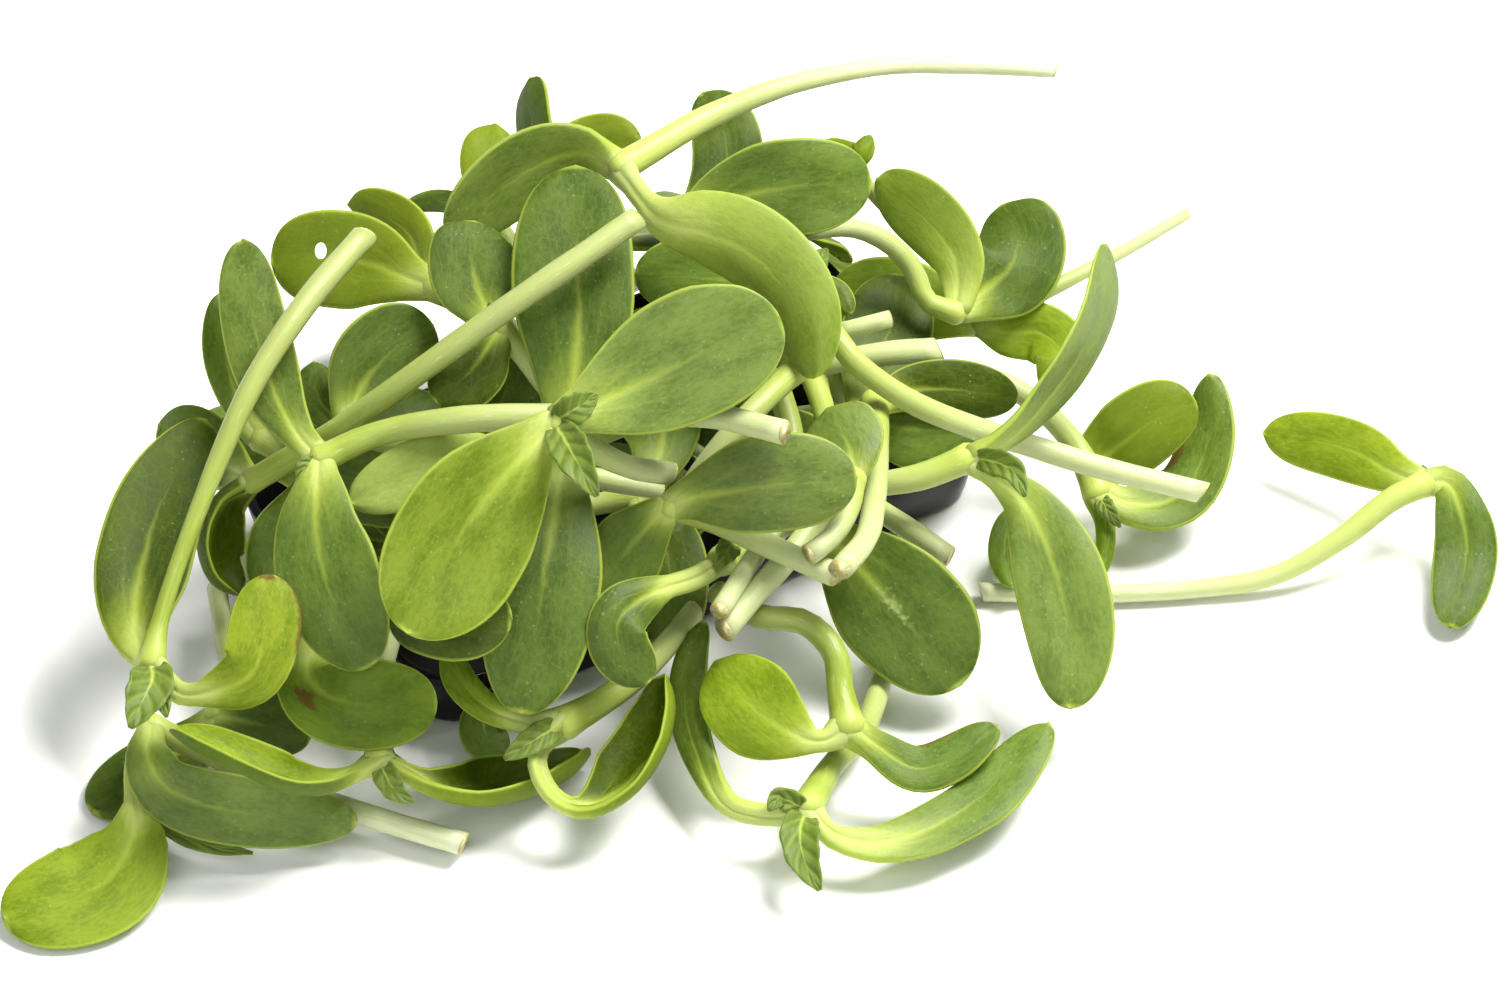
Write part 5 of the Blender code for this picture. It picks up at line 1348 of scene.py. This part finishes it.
def leaf_material(name, settings):
    """Waxy leaf skin that lets light through, with pale veins and base and a pale margin, in part a
    painted highlight.
    """
    made, wiring = new_material(name)
    along, across = wiring.read("along"), wiring.read("across")
    under, bloom, scar = wiring.read("under"), wiring.read("bloom"), wiring.read("scar")
    skin, tint = wiring.read("skin", "Vector"), wiring.read("tint", "Color")
    vein = settings.vein_tint
    drawn_out = wiring.add("ShaderNodeMapping", {"Vector": skin, "Scale": (1.0, 0.45, 1.0)})
    mottle = wiring.mottle(drawn_out.outputs[0], 0.26, 2.0)
    veins = wiring.veins(along, across, skin, LEAF_VEIN_REACH)
    darker = wiring.mix(1.0, tint, LEAF_SHADE, "MULTIPLY")
    colour = wiring.mix(wiring.fade(mottle, 0.38, 0.6), darker, tint)
    paler = wiring.mix(0.3, tint, LEAF_UNDERSIDE)
    colour = wiring.mix(wiring.times(under, 0.5), colour, paler)
    dust = wiring.times(bloom, wiring.fade(mottle, 0.3, 0.62, 0.2, 0.7))
    dust = wiring.times(dust, wiring.fade(under, 0.0, 1.0, 1.0, 0.4))
    colour = wiring.mix(dust, colour, settings.bloom_dust)
    colour = wiring.mix(wiring.times(veins["Net"], 0.05), colour, vein)
    colour = wiring.mix(wiring.times(veins["Main"], 0.55), colour, vein)
    uneven = wiring.fade(mottle, 0.38, 0.6, 0.8, 1.0)
    base = wiring.times(wiring.read("base"), uneven)
    colour = wiring.mix(base, colour, vein)
    colour = wiring.mix(wiring.fade(base, 0.3, 0.85, 0.0, 0.6), colour, LEAF_BASE)
    colour = wiring.mix(wiring.fade(along, -0.7, 0.25, 0.92, 0.0), colour, LEAF_STALK)
    # The pale margin is partly the margin's own paler tissue and partly a painted highlight along the
    # thin edge.
    margin = wiring.fade(wiring.size(across), 0.93, 0.985)
    rim = wiring.larger(margin, wiring.fade(along, 0.975, 0.995))
    colour = wiring.mix(wiring.times(rim, 0.6), colour, vein)
    pale_dots = wiring.freckles(skin, 1.1, 0.28)
    colour = wiring.mix(wiring.times(pale_dots, 0.22), colour, LEAF_PALE_DOTS)
    dark_dots = wiring.freckles(skin, 0.35, 0.085)
    colour = wiring.mix(wiring.times(dark_dots, 0.5), colour, LEAF_DARK_DOTS)
    colour = weathered(wiring, settings, colour, along, across, scar, skin)
    grain = wiring.noise(skin, 6.0, 3.0)
    height = wiring.plus(veins["Height"], wiring.times(grain, 0.16))
    height = wiring.plus(height, wiring.times(mottle, 0.5))
    normal = wiring.bump(height, 0.5, 0.35)
    roughness = wiring.fade(mottle, 0.3, 0.7, 0.38, 0.56)
    shader = wiring.add("ShaderNodeBsdfPrincipled", {
        "Base Color": colour, "Roughness": roughness, "Normal": normal,
        "Specular IOR Level": wiring.fade(bloom, 0.0, 0.8, 0.1, 0.32),
    })
    lit = wiring.mix(0.55, colour, settings.through_light)
    through = wiring.add("ShaderNodeBsdfTranslucent", {"Color": lit, "Normal": normal})
    wiring.finish(wiring.add(
        "ShaderNodeMixShader", {0: LEAF_THROUGH, 1: shader.outputs[0], 2: through.outputs[0]}
    ))
    return made


def stem_material(name, settings):
    """Juicy pale stem, greener towards its node, with faint lengthwise streaks."""
    made, wiring = new_material(name)
    along, skin = wiring.read("along"), wiring.read("skin", "Vector")
    streaks = wiring.noise(skin, 1.3, 3.0)
    mottle = wiring.mottle(skin, 0.5, 3.0)
    shift = wiring.plus(along, wiring.times(wiring.minus(mottle, 0.5), 0.3))
    node_share = wiring.fade(shift, 0.1, 0.95)
    green = wiring.mix(node_share, settings.foot_green, settings.node_green)
    white = wiring.mix(node_share, settings.foot_white, settings.node_white)
    colour = wiring.mix(wiring.read("pale"), green, white)
    colour = wiring.mix(wiring.fade(along, 0.9, 1.0, 0.0, 0.7), colour, STEM_NODE)
    colour = wiring.mix(wiring.fade(streaks, 0.42, 0.62, 0.0, 0.3), colour, STEM_STREAKS)
    dots = wiring.freckles(skin, 2.4, 0.3)
    colour = wiring.mix(wiring.times(dots, 0.25), colour, STEM_DOTS)
    height = wiring.plus(wiring.times(streaks, 0.6), wiring.noise(skin, 7.0, 2.0))
    normal = wiring.bump(height, 0.35, 0.15)
    wiring.finish(wiring.add("ShaderNodeBsdfPrincipled", {
        "Base Color": colour, "Roughness": wiring.fade(mottle, 0.3, 0.7, 0.3, 0.46),
        "Normal": normal, "Subsurface Weight": 0.3, "Subsurface Scale": 1.2 * MM,
        "Subsurface Radius": (1.0, 1.0, 0.35), "Specular IOR Level": 0.3,
    }))
    return made


def cut_material(name, settings):
    """The wet face of a cut stem: pale pith inside a drying ochre rim."""
    made, wiring = new_material(name)
    across, skin = wiring.read("across"), wiring.read("skin", "Vector")
    mottle = wiring.mottle(skin, 1.2, 5.0)
    edge = wiring.plus(across, wiring.times(wiring.minus(mottle, 0.5), 2.2))
    rim = wiring.fade(edge, 0.85, 1.15)
    colour = wiring.mix(rim, settings.cut_tint, settings.cut_rim_tint)
    colour = wiring.mix(wiring.fade(edge, 0.25, 0.5, 0.5, 0.0), colour, CUT_PITH)
    normal = wiring.bump(mottle, 0.6, 0.3)
    wiring.finish(wiring.add("ShaderNodeBsdfPrincipled", {
        "Base Color": colour, "Roughness": wiring.fade(mottle, 0.3, 0.7, 0.25, 0.5),
        "Normal": normal,
    }))
    return made


def bud_material(name, settings):
    """Young true leaf: quilted between its veins and soft with fine hairs."""
    made, wiring = new_material(name)
    along, across, under = wiring.read("along"), wiring.read("across"), wiring.read("under")
    skin, tint = wiring.read("skin", "Vector"), wiring.read("tint", "Color")
    veins = wiring.veins(along, across, skin, BUD_VEIN_REACH)
    slope = wiring.plus(wiring.times(along, 34.0), wiring.times(wiring.size(across), -7.0))
    ribs = wiring.times(wiring.plus(wiring.math("SINE", slope), 1.0), 0.5)
    mottle = wiring.mottle(skin, 0.7, 4.0)
    darker = wiring.mix(1.0, tint, BUD_SHADE, "MULTIPLY")
    colour = wiring.mix(wiring.fade(mottle, 0.3, 0.7), darker, tint)
    colour = wiring.mix(wiring.fade(ribs, 0.6, 1.0, 0.0, 0.12), colour, settings.vein_tint)
    colour = wiring.mix(wiring.times(veins["Main"], 0.8), colour, settings.vein_tint)
    colour = wiring.mix(wiring.times(under, 0.35), colour, BUD_UNDERSIDE)
    hairs = wiring.freckles(skin, 5.0, 0.4)
    colour = wiring.mix(wiring.times(hairs, 0.2), colour, BUD_HAIRS)
    height = wiring.plus(wiring.times(ribs, -0.7), wiring.times(hairs, 0.35))
    normal = wiring.bump(height, 0.8, 0.25)
    shader = wiring.add("ShaderNodeBsdfPrincipled", {
        "Base Color": colour, "Roughness": wiring.fade(mottle, 0.3, 0.7, 0.5, 0.7),
        "Normal": normal, "Sheen Weight": 0.15, "Sheen Roughness": 0.4,
    })
    through = wiring.add("ShaderNodeBsdfTranslucent", {"Color": opaque(settings.through_light)})
    wiring.finish(wiring.add(
        "ShaderNodeMixShader", {0: BUD_THROUGH, 1: shader.outputs[0], 2: through.outputs[0]}
    ))
    return made


def tray_material(name, settings):
    """Glossy black moulded plastic with faint scuffs."""
    made, wiring = new_material(name)
    place = wiring.add("ShaderNodeTexCoord").outputs["Object"]
    mottle = wiring.mottle(place, 60.0, 900.0)
    stretched = wiring.add("ShaderNodeMapping", {"Vector": place, "Scale": (40.0, 900.0, 300.0)})
    scuffs = wiring.fade(wiring.noise(stretched.outputs[0], 1.0, 4.0), 0.62, 0.74)
    colour = wiring.mix(wiring.times(scuffs, 0.3), settings.tint, settings.scratch_tint)
    even = wiring.fade(mottle, 0.3, 0.7, 0.14, 0.26)
    roughness = wiring.plus(even, wiring.times(scuffs, 0.15))
    normal = wiring.bump(mottle, 0.15, 0.1)
    wiring.finish(wiring.add("ShaderNodeBsdfPrincipled", {
        "Base Color": colour, "Roughness": roughness, "Normal": normal,
        "Specular IOR Level": 0.22,
    }))
    return made


def table_material(name, settings):
    """A pale matt table."""
    made, wiring = new_material(name)
    place = wiring.add("ShaderNodeTexCoord").outputs["Object"]
    grain = wiring.mottle(place, 3.0, 400.0)
    tint = settings.table_tint
    darker = [channel * TABLE_GRAIN for channel in tint]
    colour = wiring.mix(wiring.fade(grain, 0.3, 0.7), tint, darker)
    wiring.finish(wiring.add("ShaderNodeBsdfPrincipled", {"Base Color": colour, "Roughness": 0.7}))
    return made


def sprout_materials(scene):
    """The four materials of a sprout, in the order of FINISHES."""
    leaves, stems = scene.microgreen_leaves, scene.microgreen_stems
    return (
        once("materials", "leaf", leaf_material, leaves),
        once("materials", "stem", stem_material, stems),
        once("materials", "cut face", cut_material, stems),
        once("materials", "bud", bud_material, leaves),
    )


# Pieces


def draw_sprout(scene, sprout):
    """One whole sprout as one piece."""
    chance = random.Random(sprout.name)
    tissue = Tissue()
    draw_stem(tissue, sprout.stem, sprout.pale, scene.microgreen_stems, chance)
    node = sprout.stem[-1]
    for leaf in sprout.leaves:
        draw_leaf(tissue, node, leaf, scene.microgreen_leaves, chance)
    for bud in sprout.buds:
        draw_bud(tissue, node, bud, scene.microgreen_leaves)
    piece = tissue.piece(f"fresh_{sprout.name}", sprout_materials(scene))
    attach(piece, "root")
    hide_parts(sprout.name)


class SproutGroup:
    """What the operators that draw a group of sprouts share."""

    sprouts = ()

    def execute(self, context):
        for sprout in self.sprouts:
            if sprout.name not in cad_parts:
                raise RuntimeError(f"the frame has no solid named {sprout.name}")
            draw_sprout(context.scene, sprout)
        return {"FINISHED"}


class MICROGREENS_OT_top(SproutGroup, bpy.types.Operator):
    """Draw the sprouts along the top of the heap"""

    bl_idname = "microgreens.top"
    bl_label = "Top sprouts"
    sprouts = TOP_SPROUTS

    def execute(self, context):
        done = super().execute(context)
        holed = bpy.data.objects["fresh_sprout_holed"]
        pierce(holed, spot(*HOLE_PLACE), HOLE_LONG * MM, HOLE_WIDE * MM)
        return done


class MICROGREENS_OT_left(SproutGroup, bpy.types.Operator):
    """Draw the sprouts on the left of the heap"""

    bl_idname = "microgreens.left"
    bl_label = "Left sprouts"
    sprouts = LEFT_SPROUTS


class MICROGREENS_OT_middle(SproutGroup, bpy.types.Operator):
    """Draw the sprouts in the middle of the heap, with the cut stem ends"""

    bl_idname = "microgreens.middle"
    bl_label = "Middle sprouts"
    sprouts = MIDDLE_SPROUTS


class MICROGREENS_OT_right(SproutGroup, bpy.types.Operator):
    """Draw the sprouts on the right, with the stray one"""

    bl_idname = "microgreens.right"
    bl_label = "Right sprouts"
    sprouts = RIGHT_SPROUTS


class MICROGREENS_OT_front(SproutGroup, bpy.types.Operator):
    """Draw the sprouts that lie in front of the tray"""

    bl_idname = "microgreens.front"
    bl_label = "Front sprouts"
    sprouts = FRONT_SPROUTS


class MICROGREENS_OT_inner(SproutGroup, bpy.types.Operator):
    """Draw the sprouts inside the heap and behind it"""

    bl_idname = "microgreens.inner"
    bl_label = "Inner and back sprouts"
    sprouts = INNER_SPROUTS


class MICROGREENS_OT_tray(bpy.types.Operator):
    """Draw the black tray under the heap"""

    bl_idname = "microgreens.tray"
    bl_label = "Tray"

    def execute(self, context):
        settings = context.scene.microgreen_tray
        tray = draw_tray(once("materials", "black plastic", tray_material, settings))
        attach(tray, "root")
        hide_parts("tray")
        return {"FINISHED"}


def rounded_outline(length, width, corner, height):
    """The outline of a rounded rectangle at this height, in metres."""
    places = []
    for turn, (x, y) in enumerate(((1, 1), (-1, 1), (-1, -1), (1, -1))):
        for step in range(TRAY_CORNER_STEPS + 1):
            angle = math.radians(90 * turn + 90 * step / TRAY_CORNER_STEPS)
            places.append(Vector((
                x * (length / 2 - corner) + corner * math.cos(angle),
                y * (width / 2 - corner) + corner * math.sin(angle),
                height,
            )) * MM)
    return places


def draw_tray(plastic):
    """A dish in one sleeve: under the foot, up the outside, over the lip and down inside."""
    steps = TRAY_ROUND_STEPS
    profile = [(grow, 0.0) for grow in TRAY_FOOT_RINGS]
    for step in range(steps + 1):
        angle = math.radians(90 * step / steps)
        profile.append((
            -2 * TRAY_FOOT_ROUND * (1 - math.sin(angle)),
            TRAY_FOOT_ROUND * (1 - math.cos(angle)),
        ))
    lip = 2 * TRAY_FLARE
    profile.append((lip, TRAY_HEIGHT - TRAY_LIP_ROUND))
    for step in range(1, steps + 1):
        angle = math.pi * step / steps
        profile.append((
            lip - TRAY_WALL + TRAY_WALL * math.cos(angle),
            TRAY_HEIGHT - TRAY_LIP_ROUND + TRAY_LIP_ROUND * math.sin(angle),
        ))
    for step in range(steps + 1):
        angle = math.radians(90 * step / steps)
        profile.append((
            -2 * TRAY_WALL - 2 * TRAY_FOOT_ROUND * (1 - math.cos(angle)),
            TRAY_FLOOR + TRAY_FOOT_ROUND * (1 - math.sin(angle)),
        ))
    shape = bmesh.new()
    rows = [
        [
            shape.verts.new(place)
            for place in rounded_outline(
                TRAY_LENGTH + grow, TRAY_WIDTH + grow, TRAY_CORNER + grow / 2, height
            )
        ]
        for grow, height in profile
    ]
    faces = [rows[0][::-1], rows[-1]]
    for low, high in zip(rows, rows[1:]):
        faces += [
            (low[i - 1], low[i], high[i], high[i - 1]) for i in range(len(low))
        ]
    for corners in faces:
        shape.faces.new(corners).smooth = True
    bmesh.ops.recalc_face_normals(shape, faces=shape.faces)
    mesh = bpy.data.meshes.new("tray")
    shape.to_mesh(mesh)
    shape.free()
    mesh.set_sharp_from_angle(angle=SHARP)
    mesh.materials.append(plastic)
    made = bpy.data.objects.new("black_tray", mesh)
    bpy.context.scene.collection.objects.link(made)
    return made


# The stage


def soft_light(name, offset, size, power, tint):
    """A large square lamp that faces the heap from so far right of, behind and over it."""
    right, behind, over = offset
    place = HEAP_MIDDLE + AWAY * behind + RIGHT * right + UP * over
    lamp = bpy.data.lights.new(name, "AREA")
    lamp.shape = "SQUARE"
    lamp.size = size
    lamp.energy = power
    lamp.color = tint
    made = bpy.data.objects.new(name, lamp)
    made.location = place
    made.rotation_euler = (HEAP_MIDDLE - place).to_track_quat("-Z", "Y").to_euler()
    made.visible_camera = False
    bpy.context.scene.collection.objects.link(made)


class MICROGREENS_OT_stage(bpy.types.Operator):
    """Lay the table and set the lights and the camera"""

    bl_idname = "microgreens.stage"
    bl_label = "Table, lights and camera"

    def execute(self, context):
        settings = context.scene.microgreen_stage
        self.lay_table(context, settings)
        self.hang_lights(context, settings)
        self.set_camera(context, settings)
        context.scene.view_settings.view_transform = "Standard"
        return {"FINISHED"}

    def lay_table(self, context, settings):
        mesh = bpy.data.meshes.new("table")
        corners = [
            (x * TABLE_HALF, y * TABLE_HALF, 0) for x, y in ((-1, -1), (1, -1), (1, 1), (-1, 1))
        ]
        mesh.from_pydata(corners, [], [(0, 1, 2, 3)])
        mesh.materials.append(once("materials", "pale table", table_material, settings))
        table = bpy.data.objects.new("table", mesh)
        table.location.z = -TABLE_DROP * MM
        context.scene.collection.objects.link(table)

    def hang_lights(self, context, settings):
        soft_light("key", KEY_PLACE, KEY_SIZE, settings.key_power, KEY_TINT)
        soft_light("fill", FILL_PLACE, FILL_SIZE, settings.fill_power, FILL_TINT)
        world = bpy.data.worlds.new("room")
        world.use_nodes = True
        ground = world.node_tree.nodes["Background"]
        ground.inputs["Color"].default_value = (1.0, 1.0, 1.0, 1.0)
        ground.inputs["Strength"].default_value = settings.sky_strength
        context.scene.world = world

    def set_camera(self, context, settings):
        lens = bpy.data.cameras.new("camera")
        lens.lens = settings.lens
        camera = bpy.data.objects.new("camera", lens)
        aim = spot(*CAMERA_AIM)
        far = settings.lens * settings.picture_width / lens.sensor_width
        lens.clip_end = far * 3
        camera.location = aim + TO_EYE * far
        camera.rotation_euler = TO_EYE.to_track_quat("Z", "Y").to_euler()
        context.scene.collection.objects.link(camera)
        context.scene.camera = camera


class MICROGREENS_PT_panel(bpy.types.Panel):
    """The sidebar panel with the settings and what draws each group"""

    bl_label = "Sunflower microgreens"
    bl_idname = "MICROGREENS_PT_panel"
    bl_space_type = "VIEW_3D"
    bl_region_type = "UI"
    bl_category = "Microgreens"

    def draw(self, context):
        layout = self.layout
        for operator in OPERATORS:
            layout.operator(operator.bl_idname)
        for name, group in SETTINGS.items():
            box = layout.box()
            box.label(text=group.__doc__)
            for setting in group.__annotations__:
                box.prop(getattr(context.scene, name), setting)


SETTINGS = {
    "microgreen_leaves": LeafSettings,
    "microgreen_stems": StemSettings,
    "microgreen_tray": TraySettings,
    "microgreen_stage": StageSettings,
}
OPERATORS = (
    MICROGREENS_OT_stage,
    MICROGREENS_OT_tray,
    MICROGREENS_OT_inner,
    MICROGREENS_OT_left,
    MICROGREENS_OT_right,
    MICROGREENS_OT_front,
    MICROGREENS_OT_middle,
    MICROGREENS_OT_top,
)


def register():
    for group in SETTINGS.values():
        bpy.utils.register_class(group)
    for name, group in SETTINGS.items():
        setattr(bpy.types.Scene, name, bpy.props.PointerProperty(type=group))
    for made in (*OPERATORS, MICROGREENS_PT_panel):
        bpy.utils.register_class(made)


def unregister():
    for made in (MICROGREENS_PT_panel, *reversed(OPERATORS)):
        bpy.utils.unregister_class(made)
    for name in SETTINGS:
        delattr(bpy.types.Scene, name)
    for group in SETTINGS.values():
        bpy.utils.unregister_class(group)


def main():
    """Draws everything."""
    register()
    for operator in OPERATORS:
        kind, name = operator.bl_idname.split(".")
        getattr(getattr(bpy.ops, kind), name)()
    bpy.context.view_layer.update()


if __name__ == "__main__":
    main()
